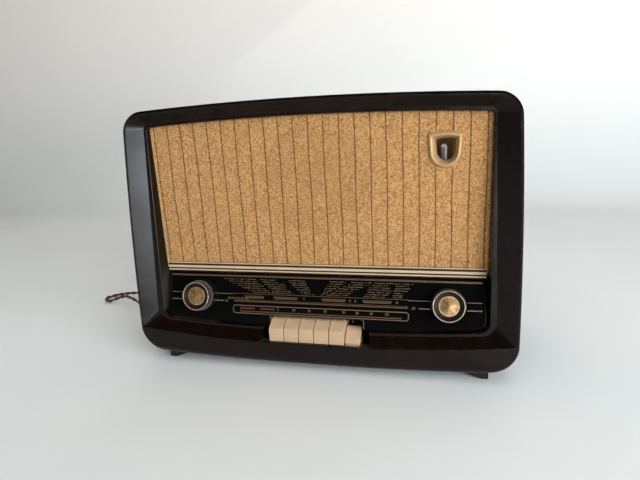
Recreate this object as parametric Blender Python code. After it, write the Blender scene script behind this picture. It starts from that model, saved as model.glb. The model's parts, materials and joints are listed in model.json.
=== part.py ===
"""Bakelite table radio with a sloping dial, six piano keys and a valve chassis.

All sizes below are millimetres in a working frame: X to the right, Y to the back with 0 on the
grille cloth, Z up with 0 on the table. One empty carries every piece into the row frame, whose
origin is the middle of the cabinet's underside.
"""

import math

import bmesh
import bpy
from mathutils import Matrix, Vector

MM = 0.001
GAP = 0.3

# Cabinet
HALF_TOP = 235.6
HALF_BOTTOM = 243.9
SIDE_BULGE = 3.1
TOP_Z = 342.3
TOP_DROP = 7.5
BASE_Z = 8.0
BASE_RISE = 7.5
FLAT_HALF = 31.0
REAR_Y = 166.0
MIDDLE_Y = 65.0
WALL = 4.0
RIM_Y_AT_TOP = -20.0
RIM_REF_Z = 320.0
RIM_LEAN = 0.056
BAND_DEPTH = 12.0
CORNER_STEPS = 6
TOP_STEPS = 8
SIDE_STEPS = 5
BASE_STEPS = 7

# Feet
FOOT_OUTER = 214.0
FOOT_INNER = 181.0
FOOT_PAD = 205.0

# Openings in the front
CLOTH_HALF = 210.5
CLOTH_TOP = 321.4
FLANGE_Y = -1.0
SHELF_Z = 54.5
SHELF_RISE = 8.0
CREST_Z = 38.3
CREST_RISE = 12.2
NOTCH_HALF_FRONT = 74.0
NOTCH_HALF_REAR = 64.0
NOTCH_FLOOR = 38.6

# Dial, leaning back
DIAL_LEAN = math.radians(14.9)
DIAL_TOP_Z = 120.6
DIAL_TOP_Y = -2.0
GLASS_THICK = 3.0
GLASS_HALF = 209.6
GLASS_NOTCH_HALF = 61.4
GLASS_NOTCH_Z = 68.0
PLATE_SET_BACK = 6.6
PLATE_THICK = 1.2
PLATE_HALF = 204.0

# Knobs
LEFT_KNOB_X = -162.4
RIGHT_KNOB_X = 166.4
KNOB_FACE_Y = -24.3
KNOB_FACE_Z = 94.0
KNOB_RADIUS = 20.0
KNOB_HEIGHT = 13.4
FLUTES = 30
DISC_RADIUS = 12.3
SHAFT_RADIUS = 3.0
PULLEY_RADIUS = 9.2

# Keys
KEY_NAMES = (
    "off_key",
    "pickup_key",
    "long_wave_key",
    "medium_wave_key",
    "short_wave_key",
    "fm_key",
)
KEY_PITCH = 19.9
KEY_WIDTH = 19.3
KEY_FRONT_Y = -32.0
KEY_PIVOT_Y = 24.0
KEY_PIVOT_Z = 58.0
KEY_TRAVEL = math.radians(15.0)
KEY_ROD_RADIUS = 2.0

# Tuning drive
DRUM_X = 128.0
DRUM_Y = 52.0
DRUM_Z = 96.0
DRUM_RADIUS = 58.0
POINTER_HEIGHT = 46.0
RAIL_HALF = 112.0
RAIL_TAB_X = 102.0

# Loudspeaker
SPEAKER_X = 6.0
SPEAKER_Z = 246.0
SPEAKER_HOLE = 69.0
SPEAKER_RADIUS = 79.0

# Magic eye
EYE_X = 159.6
EYE_Z = 275.5
EYE_HALF_WIDTH = 19.2
EYE_HALF_HEIGHT = 20.4

# Chassis
DECK_Z = 54.0
DECK_FRONT_Y = 66.0
DECK_REAR_Y = 154.0
DECK_HALF = 208.0

BAKELITE = ("bakelite", (0.030, 0.020, 0.016), 0.28, 0.0)
CLOTH = ("grille_cloth", (0.52, 0.36, 0.19), 0.95, 0.0)
PLYWOOD = ("plywood", (0.42, 0.29, 0.17), 0.8, 0.0)
CREAM = ("cream_plastic", (0.66, 0.52, 0.34), 0.4, 0.0)
BLACK_GLASS = ("dial_glass", (0.012, 0.012, 0.013), 0.12, 0.0)
STEEL = ("plated_steel", (0.45, 0.45, 0.43), 0.35, 1.0)
BLACK_STEEL = ("black_steel", (0.03, 0.03, 0.03), 0.5, 0.0)
BRASS = ("brass", (0.62, 0.44, 0.18), 0.3, 1.0)
CLEAR_GLASS = ("valve_glass", (0.62, 0.66, 0.66), 0.08, 0.0)
ALUMINIUM = ("aluminium", (0.68, 0.69, 0.70), 0.4, 1.0)
PHOSPHOR = ("phosphor_screen", (0.62, 0.66, 0.62), 0.4, 0.0)
PAPER_CONE = ("paper_cone", (0.10, 0.085, 0.07), 0.9, 0.0)
LAMINATION = ("lamination_iron", (0.13, 0.13, 0.14), 0.55, 1.0)
WINDING = ("winding_paper", (0.50, 0.33, 0.12), 0.7, 0.0)
FERRITE = ("ferrite", (0.06, 0.06, 0.065), 0.6, 0.0)
HARDBOARD = ("hardboard", (0.17, 0.10, 0.055), 0.85, 0.0)
PAXOLIN = ("paxolin", (0.30, 0.15, 0.06), 0.5, 0.0)
RUBBER = ("rubber", (0.025, 0.022, 0.020), 0.75, 0.0)
CORD = ("cord_rubber", (0.085, 0.045, 0.030), 0.7, 0.0)
RED = ("pointer_red", (0.55, 0.06, 0.03), 0.45, 0.0)


# --- helpers -------------------------------------------------------------------------------------


def clear_scene():
    for obj in list(bpy.data.objects):
        bpy.data.objects.remove(obj, do_unlink=True)


def material(spec):
    name, colour, roughness, metallic = spec
    made = bpy.data.materials.get(name)
    if made is None:
        made = bpy.data.materials.new(name)
        made.use_nodes = True
        shader = made.node_tree.nodes["Principled BSDF"]
        shader.inputs["Base Color"].default_value = (*colour, 1.0)
        shader.inputs["Roughness"].default_value = roughness
        shader.inputs["Metallic"].default_value = metallic
    return made


def finish(name, mesh, spec, at=(0, 0, 0), turn=(0, 0, 0), smooth=True, bevel=0.0, bevel_steps=2):
    """An object from a bmesh in millimetres, placed under the radio's empty."""
    bmesh.ops.recalc_face_normals(mesh, faces=mesh.faces[:])
    bmesh.ops.transform(mesh, matrix=Matrix.Scale(MM, 4), verts=mesh.verts[:])
    data = bpy.data.meshes.new(name)
    mesh.to_mesh(data)
    mesh.free()
    obj = bpy.data.objects.new(name, data)
    bpy.context.scene.collection.objects.link(obj)
    obj.parent = RADIO
    obj.location = [MM * value for value in at]
    obj.rotation_euler = turn
    if spec:
        data.materials.append(material(spec))
    if bevel:
        made = obj.modifiers.new("edges", "BEVEL")
        made.width = bevel * MM
        made.segments = bevel_steps
        made.limit_method = "ANGLE"
        made.angle_limit = math.radians(40)
    if smooth:
        data.shade_smooth()
        data.set_sharp_from_angle(angle=math.radians(35))
    return obj


def boolean(obj, other, how="DIFFERENCE"):
    made = obj.modifiers.new(other.name, "BOOLEAN")
    made.operation = how
    made.solver = "EXACT"
    made.object = other
    other.hide_render = True
    other.display_type = "WIRE"
    return obj


def add_box(mesh, low, high):
    (x0, y0, z0), (x1, y1, z1) = low, high
    corners = [mesh.verts.new((x, y, z)) for x in (x0, x1) for y in (y0, y1) for z in (z0, z1)]
    for face in ((0, 1, 3, 2), (4, 6, 7, 5), (0, 4, 5, 1), (2, 3, 7, 6), (0, 2, 6, 4), (1, 5, 7, 3)):
        mesh.faces.new([corners[i] for i in face])


def box(name, low, high, spec, bevel=0.0, turn=(0, 0, 0), steps=2):
    """A box given by two corners; its origin is its middle."""
    middle = [(a + b) / 2 for a, b in zip(low, high)]
    mesh = bmesh.new()
    add_box(mesh, [a - m for a, m in zip(low, middle)], [b - m for b, m in zip(high, middle)])
    return finish(name, mesh, spec, middle, turn, smooth=False, bevel=bevel, bevel_steps=steps)


def ring_faces(mesh, first, second, closed=True):
    count = len(first)
    for i in range(count if closed else count - 1):
        j = (i + 1) % count
        mesh.faces.new((first[i], first[j], second[j], second[i]))


def loft(mesh, loops, caps=True, around=False):
    """Faces between point loops of equal length; capped at both ends, or joined last to first."""
    rows = [[mesh.verts.new(point) for point in loop] for loop in loops]
    for first, second in zip(rows, rows[1:]):
        ring_faces(mesh, first, second)
    if around:
        ring_faces(mesh, rows[-1], rows[0])
    elif caps:
        mesh.faces.new(rows[0])
        mesh.faces.new(rows[-1])


def circle(radius, height, steps, start=0.0):
    angles = [start + 2 * math.pi * i / steps for i in range(steps)]
    return [(radius * math.cos(angle), radius * math.sin(angle), height) for angle in angles]


def lathe(mesh, profile, steps, around=False, at=Matrix.Identity(4)):
    """Revolves (radius, height) pairs about Z. A radius of 0 at an end closes in a point."""
    rows = []
    for radius, height in profile:
        if radius == 0:
            rows.append([mesh.verts.new(at @ Vector((0, 0, height)))])
        else:
            rows.append([mesh.verts.new(at @ Vector(p)) for p in circle(radius, height, steps)])
    pairs = list(zip(rows, rows[1:]))
    if around:
        pairs.append((rows[-1], rows[0]))
    for first, second in pairs:
        if len(first) == 1 and len(second) == 1:
            continue
        if len(first) == 1 or len(second) == 1:
            tip, rim = (first[0], second) if len(first) == 1 else (second[0], first)
            for i in range(steps):
                mesh.faces.new((rim[i], rim[(i + 1) % steps], tip))
        else:
            ring_faces(mesh, first, second)
    if not around:
        for row in (rows[0], rows[-1]):
            if len(row) > 1:
                mesh.faces.new(row)


def turned(name, profile, steps, spec, at=(0, 0, 0), turn=(0, 0, 0), around=False):
    mesh = bmesh.new()
    lathe(mesh, profile, steps, around)
    return finish(name, mesh, spec, at, turn)


def prism(mesh, outline, low, high, axis="Y"):
    """A flat outline swept between two heights along an axis. X: (y, z), Y: (x, z), Z: (x, y)."""
    place = {
        "X": lambda a, b, h: (h, a, b),
        "Y": lambda a, b, h: (a, h, b),
        "Z": lambda a, b, h: (a, b, h),
    }[axis]
    loft(mesh, [[place(a, b, h) for a, b in outline] for h in (low, high)])


def arc(centre, radius, start, end, steps):
    """Points on a circle in degrees, both ends included."""
    found = []
    for i in range(steps + 1):
        angle = math.radians(start + (end - start) * i / steps)
        found.append((centre[0] + radius * math.cos(angle), centre[1] + radius * math.sin(angle)))
    return found


def rounded(half_width, half_height, radius, steps=3):
    corners = ((1, 1, 0), (-1, 1, 90), (-1, -1, 180), (1, -1, 270))
    found = []
    for sx, sy, start in corners:
        centre = (sx * (half_width - radius), sy * (half_height - radius))
        found += arc(centre, radius, start, start + 90, steps)
    return found


TO_REAR = (-math.pi / 2, 0, 0)  # turns a lathe's +Z to +Y
TO_FRONT = (math.pi / 2, 0, 0)  # turns a lathe's +Z to -Y
ALONG_X = (0, math.pi / 2, 0)


# --- the dial's leaning frame --------------------------------------------------------------------


def dial_point(x, up, out):
    """A point on the leaning dial: up the slope from the glass's top edge, out towards the front."""
    y = DIAL_TOP_Y + up * math.sin(DIAL_LEAN) - out * math.cos(DIAL_LEAN)
    z = DIAL_TOP_Z + up * math.cos(DIAL_LEAN) + out * math.sin(DIAL_LEAN)
    return (x, y, z)


def dial_up(z):
    """How far up the slope the glass's front face reaches a height."""
    return (z - DIAL_TOP_Z) / math.cos(DIAL_LEAN)


DIAL_TURN = (-DIAL_LEAN, 0, 0)
KNOB_TURN = (math.pi / 2 - DIAL_LEAN, 0, 0)  # a lathe's +Z to the glass's outward normal
KNOB_OUT = (
    -(KNOB_FACE_Y - DIAL_TOP_Y) * math.cos(DIAL_LEAN) + (KNOB_FACE_Z - DIAL_TOP_Z) * math.sin(DIAL_LEAN)
)
KNOB_UP = (KNOB_FACE_Y - DIAL_TOP_Y) * math.sin(DIAL_LEAN) + (KNOB_FACE_Z - DIAL_TOP_Z) * math.cos(DIAL_LEAN)


# --- cabinet -------------------------------------------------------------------------------------


def rim_y(z):
    return RIM_Y_AT_TOP - RIM_LEAN * (RIM_REF_Z - z)


def bow(x, half):
    """How far the base has risen towards a corner, 0-1; its middle is truly flat."""
    return (max(0.0, abs(x) - FLAT_HALF) / (half - FLAT_HALF)) ** 2


def outline(half_top, half_base, top, drop, base, rise, r_top, r_base, bulge=SIDE_BULGE):
    """The cabinet seen from the front, as (x, z, belongs to the base 0-1), clockwise from top left."""

    def half(z):
        share = (top - z) / (top - base)
        return half_top + (half_base - half_top) * share + bulge * (1 - (2 * share - 1) ** 2)

    def top_z(x):
        return top - drop * (x / half_top) ** 2

    def base_z(x):
        return base + rise * bow(x, half_base)

    found = []

    def corner(apex, first, second, from_flag, to_flag):
        for i in range(CORNER_STEPS + 1):
            angle = math.pi / 2 * i / CORNER_STEPS
            a, b = 1 - math.sin(angle), 1 - math.cos(angle)
            x = apex[0] + (first[0] - apex[0]) * a + (second[0] - apex[0]) * b
            z = apex[1] + (first[1] - apex[1]) * a + (second[1] - apex[1]) * b
            flag = from_flag + (to_flag - from_flag) * i / CORNER_STEPS
            found.append((x, z, flag))

    # The four corner apexes, and where each corner's curve leaves the sides, the top and the base.
    z_top = top - drop
    z_base = base + rise
    side_high = z_top - r_top
    side_low = z_base + r_base
    x_high = half_top - r_top
    x_low = half_base - r_base
    corner((-half_top, z_top), (-half(side_high), side_high), (-x_high, top_z(x_high)), 0, 0)
    for i in range(1, TOP_STEPS):
        x = (-1 + 2 * i / TOP_STEPS) * x_high
        found.append((x, top_z(x), 0))
    corner((half_top, z_top), (x_high, top_z(x_high)), (half(side_high), side_high), 0, 0)
    for i in range(1, SIDE_STEPS):
        z = side_high + (side_low - side_high) * i / SIDE_STEPS
        found.append((half(z), z, 0))
    corner((half_base, z_base), (half(side_low), side_low), (x_low, base_z(x_low)), 0, 1)
    for i in range(1, BASE_STEPS):
        x = (1 - 2 * i / BASE_STEPS) * x_low
        found.append((x, base_z(x), 1))
    corner((-half_base, z_base), (-x_low, base_z(x_low)), (-half(side_low), side_low), 1, 0)
    for i in range(1, SIDE_STEPS):
        z = side_low + (side_high - side_low) * i / SIDE_STEPS
        found.append((-half(z), z, 0))
    return found


def on_rim(shape, side_back, base_back):
    """Sets an outline behind the leaning rim, with its own depth along the base."""
    return [(x, rim_y(z) + side_back + (base_back - side_back) * flag, z) for x, z, flag in shape]


def at_y(shape, y):
    return [(x, y, z) for x, z, flag in shape]


def cabinet():
    """The shell as rings: outside from the back to the rim, over the band, then back inside."""
    ht, hb, top, base, rise = HALF_TOP, HALF_BOTTOM, TOP_Z, BASE_Z, BASE_RISE
    drop = TOP_DROP
    band, cloth, shelf = BAND_DEPTH, CLOTH_TOP, SHELF_Z
    crest, crest_rise = CREST_Z, CREST_RISE

    def rear(inset, y, wall, r_top, r_base):
        half_top = ht - inset[0] - wall
        half_base = hb - inset[1] - wall
        shape = outline(half_top, half_base, top - inset[2] - wall, drop, base + wall, rise, r_top, r_base)
        return at_y(shape, y)

    def inner(half_top, half_base, top_z, top_drop, base_z, base_rise, r_top, r_base):
        return outline(half_top, half_base, top_z, top_drop, base_z, base_rise, r_top, r_base, 0)

    loops = [
        rear((4.5, 6.0, 4.0), REAR_Y, 0, 24, 30),
        rear((1.2, 1.6, 1.0), MIDDLE_Y + 5, 0, 23, 31),
        on_rim(outline(ht, hb, top, drop, base, rise, 22, 32), 7, 11),
        on_rim(outline(ht - 0.9, hb - 0.9, top - 0.9, drop, base + 3, rise, 21.5, 30), 2, 3.2),
        on_rim(outline(ht - 3, hb - 3, top - 3, drop, base + 9, rise, 20, 26), 0, 0),
        on_rim(outline(ht - 4.4, hb - 4.4, top - 4.4, drop, crest, crest_rise, 18.5, 0.8), 0.2, 0),
        on_rim(inner(216.0, 230.0, cloth + 5.5, 6.6, 46.5, 9.0, 6.0, 9.0), band, band),
        on_rim(inner(211.6, 213.6, cloth + 0.8, 6.3, shelf - 1, SHELF_RISE, 4.8, 6.0), band, band),
        at_y(inner(CLOTH_HALF, CLOTH_HALF + 1, cloth, 6.3, shelf, SHELF_RISE, 4.5, 5.0), FLANGE_Y),
        at_y(inner(216.5, 218.0, cloth + 5.6, 6.5, shelf - 6, SHELF_RISE, 7, 8), FLANGE_Y),
        on_rim(inner(219.5, 233.0, cloth + 9.5, 6.5, 41.0, 9.5, 8, 9), band + 4, band + 5),
        on_rim(outline(ht - 6.5, hb - 6.5, top - 6.5, drop, 33.8, crest_rise - 1, 17, 4), 7.2, 4.4),
        on_rim(outline(ht - WALL, hb - WALL, top - WALL, drop, base + 6.5, rise, 18, 26), 12, 10),
        rear((1.2, 1.6, 1.0), MIDDLE_Y + 5, WALL, 19, 27),
        rear((4.5, 6.0, 4.0), REAR_Y, WALL, 20, 26),
    ]
    mesh = bmesh.new()
    loft(mesh, loops, around=True)
    shell = finish("cabinet_shell", mesh, BAKELITE, smooth=True)

    notch = bmesh.new()
    narrow, wide = NOTCH_HALF_REAR, NOTCH_HALF_FRONT
    prism(notch, [(-narrow, 12), (narrow, 12), (wide, -42), (-wide, -42)], NOTCH_FLOOR, 75, "Z")
    boolean(shell, finish("key_notch_cutter", notch, None, smooth=False))
    half = 3 * KEY_PITCH + 1.0
    pocket = box("key_pocket_cutter", (-half, KEY_FRONT_Y - 1.0, 20), (half, 12, 70), None)
    boolean(shell, pocket)
    return shell


def base_height(x):
    return BASE_Z + BASE_RISE * bow(x, HALF_BOTTOM)


def foot(name, sign, y_low, y_high):
    """A wedge: upright outside, sloping away towards the middle, on a narrow flat pad."""
    outer, inner, pad = FOOT_OUTER, FOOT_INNER, FOOT_PAD
    outline_points = [
        (sign * outer, 0),
        (sign * outer, base_height(outer) - 0.6),
        (sign * inner, base_height(inner) - 0.6),
        (sign * inner, base_height(inner) - 3.0),
        (sign * pad, 0),
    ]
    mesh = bmesh.new()
    prism(mesh, outline_points, y_low, y_high, "Y")
    return finish(name, mesh, RUBBER, smooth=False)


# --- front ---------------------------------------------------------------------------------------


def shield(scale_x=1.0, scale_z=1.0, grow=0.0, steps=6):
    """The magic eye's shield outline about its middle: arched top, U-shaped bottom."""
    w = EYE_HALF_WIDTH * scale_x + grow
    h = EYE_HALF_HEIGHT * scale_z + grow
    points = []
    for i in range(steps + 1):
        x = w * (1 - 2 * i / steps)
        points.append((x, h - 1.8 * (x / w) ** 2))
    for i in range(1, 2 * steps):
        angle = math.pi + math.pi * i / (2 * steps)
        points.append((w * 0.93 * math.cos(angle), -h * 0.1 + h * 0.9 * math.sin(angle)))
    return points


def cloth_and_baffle():
    cloth = bmesh.new()
    shape = outline(214.6, 214.6, CLOTH_TOP + 3.8, 6.4, 127.0, 0.0, 6, 2, 0)
    prism(cloth, [(x, z) for x, z, flag in shape], -0.7, 0.0, "Y")
    cloth = finish("grille_cloth", cloth, CLOTH, smooth=False)

    board = bmesh.new()
    shape = outline(225.0, 227.0, TOP_Z - 13, 7.0, 128.0, 0.0, 20, 4, 0)
    prism(board, [(x, z) for x, z, flag in shape], GAP, 8.0, "Y")
    board = finish("baffle_board", board, PLYWOOD, smooth=False)

    hole = bmesh.new()
    lathe(hole, [(SPEAKER_HOLE, -10), (SPEAKER_HOLE, 20)], 40)
    hole = finish("speaker_hole_cutter", hole, None, (SPEAKER_X, 0, SPEAKER_Z), TO_REAR)
    boolean(board, hole)

    eye = bmesh.new()
    prism(eye, [(x, z) for x, z in shield(grow=-2.6)], -12, 20, "Y")
    eye = finish("eye_hole_cutter", eye, None, (EYE_X, 0, EYE_Z), smooth=False)
    boolean(cloth, eye)
    boolean(board, eye)


def eye():
    mesh = bmesh.new()

    def level(grow, y):
        return [(x, y, z) for x, z in shield(grow=grow)]

    loops = [
        level(-3.4, -1.0),
        level(0.0, -1.0),
        level(-0.2, -1.9),
        level(-2.4, -4.6),
        level(-4.6, -5.0),
        level(-6.2, -3.6),
        level(-8.6, 8.6),
        level(-7.4, 8.6),
        level(-4.4, 0.2),
    ]
    loft(mesh, loops, around=True)
    finish("eye_bezel", mesh, BRASS, (EYE_X, 0, EYE_Z))

    bottom = 238.0
    turned(
        "eye_tube",
        [
            (9.6, bottom),
            (10.8, bottom),
            (10.8, 284),
            (9.2, 289.5),
            (5.4, 293),
            (0, 294),
            (0, 292.6),
            (4.6, 291.6),
            (8.0, 288.4),
            (9.6, 283),
        ],
        20,
        CLEAR_GLASS,
        (EYE_X, 20.6, 0),
        around=True,
    )
    screen = [(0, 238.4), (4.6, 238.4), (4.6, 284.0), (3.4, 286.4), (0, 287)]
    turned("eye_screen", screen, 16, PHOSPHOR, (EYE_X - 2.6, 20.6, 0))
    socket = [(0, 222), (11.4, 222), (11.4, 237.6), (0, 237.6)]
    turned("eye_socket", socket, 20, BAKELITE, (EYE_X, 20.6, 0))


def trim_bar():
    """The striped bar between cloth and glass: a broad rib between two narrow ones."""
    middle = 129.0
    section = [(FLANGE_Y - GAP, 121.6), (-2.0, 121.6)]
    for centre, half, out in ((124.2, 0.9, -3.6), (middle, 2.2, -4.6), (134.0, 0.9, -3.6)):
        section += [(-2.2, centre - half - 0.5), (out, centre - half)]
        section += [(out, centre + half), (-2.2, centre + half + 0.5)]
    section += [(-2.0, 136.4), (FLANGE_Y - GAP, 136.4)]
    mesh = bmesh.new()
    prism(mesh, section, -209.6, 209.6, "X")
    finish("trim_bar", mesh, CREAM, smooth=False)


def glass_outline(half, top_z, margin, notch_half, notch_z):
    """Seen square on: (x, up). The lower edge follows the cabinet's bowed shelf."""
    steps = 8

    def edge(x):
        return dial_up(SHELF_Z + margin + SHELF_RISE * bow(x, CLOTH_HALF))

    right = [(notch_half + (half - notch_half) * i / steps) for i in range(steps + 1)]
    points = [(-half, dial_up(top_z)), (half, dial_up(top_z))]
    points += [(x, edge(x)) for x in reversed(right)]
    points += [(notch_half, dial_up(notch_z)), (-notch_half, dial_up(notch_z))]
    points += [(-x, edge(x)) for x in right]
    return points


def shaft_holes(radius):
    """Two cutters, one for each knob's shaft."""
    made = []
    for side, x in (("left", LEFT_KNOB_X), ("right", RIGHT_KNOB_X)):
        mesh = bmesh.new()
        lathe(mesh, [(radius, -20), (radius, 12)], 16)
        made.append(
            finish(f"shaft_hole_{side}_{radius:.0f}_cutter", mesh, None, dial_point(x, KNOB_UP, 0), KNOB_TURN)
        )
    return made


def dial():
    glass = bmesh.new()
    shape = glass_outline(GLASS_HALF, DIAL_TOP_Z, 0.9, GLASS_NOTCH_HALF, GLASS_NOTCH_Z)
    prism(glass, shape, 0, GLASS_THICK, "Y")
    glass = finish("dial_glass", glass, BLACK_GLASS, dial_point(0, 0, 0), DIAL_TURN, smooth=False)

    plate = bmesh.new()
    shape = glass_outline(PLATE_HALF, 107.5, 5.0, GLASS_NOTCH_HALF + 1.5, GLASS_NOTCH_Z + 2)
    prism(plate, shape, PLATE_SET_BACK, PLATE_SET_BACK + PLATE_THICK, "Y")
    plate = finish("dial_plate", plate, BLACK_STEEL, dial_point(0, 0, 0), DIAL_TURN, smooth=False)
    for cutter in shaft_holes(4.5):
        boolean(glass, cutter)
        boolean(plate, cutter)
    for side in (-1, 1):
        mesh = bmesh.new()
        add_box(mesh, (side * RAIL_TAB_X - 1, 4.4, -20), (side * RAIL_TAB_X + 1, 11.3, -2))
        tab = finish(f"rail_tab_{side + 1}_join", mesh, None, dial_point(0, 0, 0), DIAL_TURN, smooth=False)
        boolean(plate, tab, "UNION")

    # The pointer: a needle between glass and plate, hung on a carriage that rides the rail.
    mesh = bmesh.new()
    add_box(mesh, (-0.7, -0.5, -POINTER_HEIGHT), (0.7, 0.5, -2.0))
    needle = finish("dial_pointer", mesh, RED, dial_point(0, -6.0, -4.8), DIAL_TURN, smooth=False)
    mesh = bmesh.new()
    add_box(mesh, (-6, -0.4, -4.5), (6, 6.5, 4.5))
    carriage = finish("pointer_carriage_join", mesh, None, dial_point(0, -6.0, -4.8), DIAL_TURN, smooth=False)
    boolean(needle, carriage, "UNION")
    mesh = bmesh.new()
    lathe(mesh, [(2.1, -RAIL_HALF), (2.1, RAIL_HALF)], 12)
    bore = finish("rail_bore_cutter", mesh, None, dial_point(0, -6.0, -8.0), ALONG_X)
    boolean(needle, bore)
    boolean(plate, bore)
    mesh = bmesh.new()
    lathe(mesh, [(1.6, 4 - RAIL_HALF), (1.6, RAIL_HALF - 4)], 12)
    finish("pointer_rail", mesh, STEEL, dial_point(0, -6.0, -8.0), ALONG_X)

    for side, x in (("left", -120.0), ("right", 132.0)):
        turned(
            f"dial_lamp_{side}",
            [(0, 0), (4.6, 0), (4.6, 10), (5.2, 12), (5.8, 16), (5.2, 20), (3.2, 22.6), (0, 23.4)],
            12,
            CLEAR_GLASS,
            (x, 34, 112),
            TO_FRONT,
        )


def knob(side, x):
    """A fluted knob with a bright rim, a sunk ring and a spun cone; its origin is on its axis."""
    at = dial_point(x, KNOB_UP, KNOB_OUT - KNOB_HEIGHT)
    steps = FLUTES * 2

    def fluted(radius, depth, height):
        found = []
        for i in range(steps):
            r = radius - (depth if i % 2 else 0)
            angle = 2 * math.pi * i / steps
            found.append((r * math.cos(angle), r * math.sin(angle), height))
        return found

    mesh = bmesh.new()
    bore = SHAFT_RADIUS + 0.25
    loops = [
        fluted(bore, 0, 0.0),
        fluted(KNOB_RADIUS - 1.0, 0.5, 0.0),
        fluted(KNOB_RADIUS, 0.9, 0.8),
        fluted(KNOB_RADIUS, 0.9, KNOB_HEIGHT - 2.4),
        fluted(KNOB_RADIUS - 1.2, 0.0, KNOB_HEIGHT - 1.6),
        fluted(KNOB_RADIUS - 2.1, 0.0, KNOB_HEIGHT - 1.6),
        fluted(KNOB_RADIUS - 4.2, 0.0, KNOB_HEIGHT - 3.6),
        fluted(DISC_RADIUS + GAP, 0.0, KNOB_HEIGHT - 3.6),
        fluted(DISC_RADIUS + GAP, 0.0, KNOB_HEIGHT - 5.4),
        fluted(bore, 0, KNOB_HEIGHT - 5.4),
    ]
    loft(mesh, loops, around=True)
    finish(f"{side}_knob", mesh, BAKELITE, at, KNOB_TURN)

    high = KNOB_HEIGHT - 1.3
    inner = KNOB_RADIUS - 2.3
    outer = KNOB_RADIUS - 0.4
    rim = [(inner, high), (outer, high), (outer, high + 0.9), (outer - 0.5, high + 1.5)]
    rim.append((inner + 0.5, high + 1.5))
    turned(f"{side}_knob_rim", rim, 36, BRASS, at, KNOB_TURN, around=True)
    top = KNOB_HEIGHT
    disc = [(0, top - 5.1), (DISC_RADIUS, top - 5.1), (DISC_RADIUS, top - 2.6)]
    disc += [(DISC_RADIUS - 0.7, top - 2.0), (0, top - 0.2)]
    turned(f"{side}_knob_disc", disc, 32, BRASS, at, KNOB_TURN)


def shafts():
    tip = KNOB_OUT - 5.6
    for side, x, end in (("volume", LEFT_KNOB_X, -14.0), ("tuning", RIGHT_KNOB_X, -42.0)):
        pulley = []
        if side == "tuning":
            low = end + 4
            flange = PULLEY_RADIUS + 1.2
            pulley = [(SHAFT_RADIUS, low), (flange, low), (PULLEY_RADIUS, low + 1.6)]
            pulley += [(PULLEY_RADIUS, low + 4.4), (flange, low + 6), (SHAFT_RADIUS, low + 6)]
        profile = [(0, end), (SHAFT_RADIUS, end), *pulley, (SHAFT_RADIUS, tip), (0, tip)]
        turned(f"{side}_shaft", profile, 16, STEEL, dial_point(x, KNOB_UP, 0), KNOB_TURN)
    at = dial_point(LEFT_KNOB_X, KNOB_UP, 0)
    turned(
        "volume_control",
        [
            (SHAFT_RADIUS + 0.3, -8.2),
            (5.5, -8.2),
            (5.5, -11.5),
            (14.5, -11.5),
            (15.0, -12.4),
            (15.0, -23.0),
            (14.0, -24.0),
            (SHAFT_RADIUS + 0.3, -24.0),
        ],
        24,
        ALUMINIUM,
        at,
        KNOB_TURN,
        around=True,
    )


# --- keys ----------------------------------------------------------------------------------------


def key_section():
    """Side view of a key as (y, z) from its pivot: square front, rounded brow, top sloping back."""
    front = KEY_FRONT_Y - KEY_PIVOT_Y
    points = [(front, -21.0), (front, -4.2), (front + 0.5, -2.2), (front + 1.7, -0.8), (front + 3.6, 0.2)]
    points += [(front + 15.0, 5.4), (front + 20.0, 6.4), (front + 24.0, 6.4), (front + 25.5, 5.0)]
    points += [(front + 27.0, 1.2), (-14.0, 0.4)]
    points += arc((0, 0), 5.2, 120, -120, 8)
    points += [(-14.0, -6.0), (front + 27.0, -7.5), (front + 22.0, -19.0), (front + 18.0, -21.0)]
    return points


def keys():
    for i, name in enumerate(KEY_NAMES):
        x = (i - (len(KEY_NAMES) - 1) / 2) * KEY_PITCH
        mesh = bmesh.new()
        prism(mesh, key_section(), -KEY_WIDTH / 2, KEY_WIDTH / 2, "X")
        held = name == KEY_NAMES[-1]
        turn = (KEY_TRAVEL if held else 0, 0, 0)
        key = finish(name, mesh, CREAM, (x, KEY_PIVOT_Y, KEY_PIVOT_Z), turn, smooth=True)
        bore = bmesh.new()
        lathe(bore, [(KEY_ROD_RADIUS + GAP, -14), (KEY_ROD_RADIUS + GAP, 14)], 12)
        cutter = finish(f"{name}_bore_cutter", bore, None, (x, KEY_PIVOT_Y, KEY_PIVOT_Z), ALONG_X)
        boolean(key, cutter)
    reach = 3 * KEY_PITCH + 5
    mesh = bmesh.new()
    lathe(mesh, [(KEY_ROD_RADIUS, -reach), (KEY_ROD_RADIUS, reach)], 12)
    finish("key_pivot_rod", mesh, STEEL, (0, KEY_PIVOT_Y, KEY_PIVOT_Z), ALONG_X)

    # One bent plate: a floor with two ears that carry the rod.
    inner = 3 * KEY_PITCH + 1.5
    outer = inner + 1.5
    section = [(-outer, 30.0), (outer, 30.0), (outer, 66.0), (inner, 66.0), (inner, 31.5), (-inner, 31.5)]
    section += [(-inner, 66.0), (-outer, 66.0)]
    mesh = bmesh.new()
    prism(mesh, section, 14.0, 56.0, "Y")
    frame = finish("key_bank_frame", mesh, STEEL, smooth=False)
    bore = bmesh.new()
    lathe(bore, [(KEY_ROD_RADIUS + GAP, -90), (KEY_ROD_RADIUS + GAP, 90)], 12)
    cutter = finish("rod_bore_cutter", bore, None, (0, KEY_PIVOT_Y, KEY_PIVOT_Z), ALONG_X)
    boolean(frame, cutter)
    box("waveband_switch", (-56, 34, 32.0), (56, 54, 48), PAXOLIN, 0.6, steps=1)


# --- loudspeaker ---------------------------------------------------------------------------------


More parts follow.
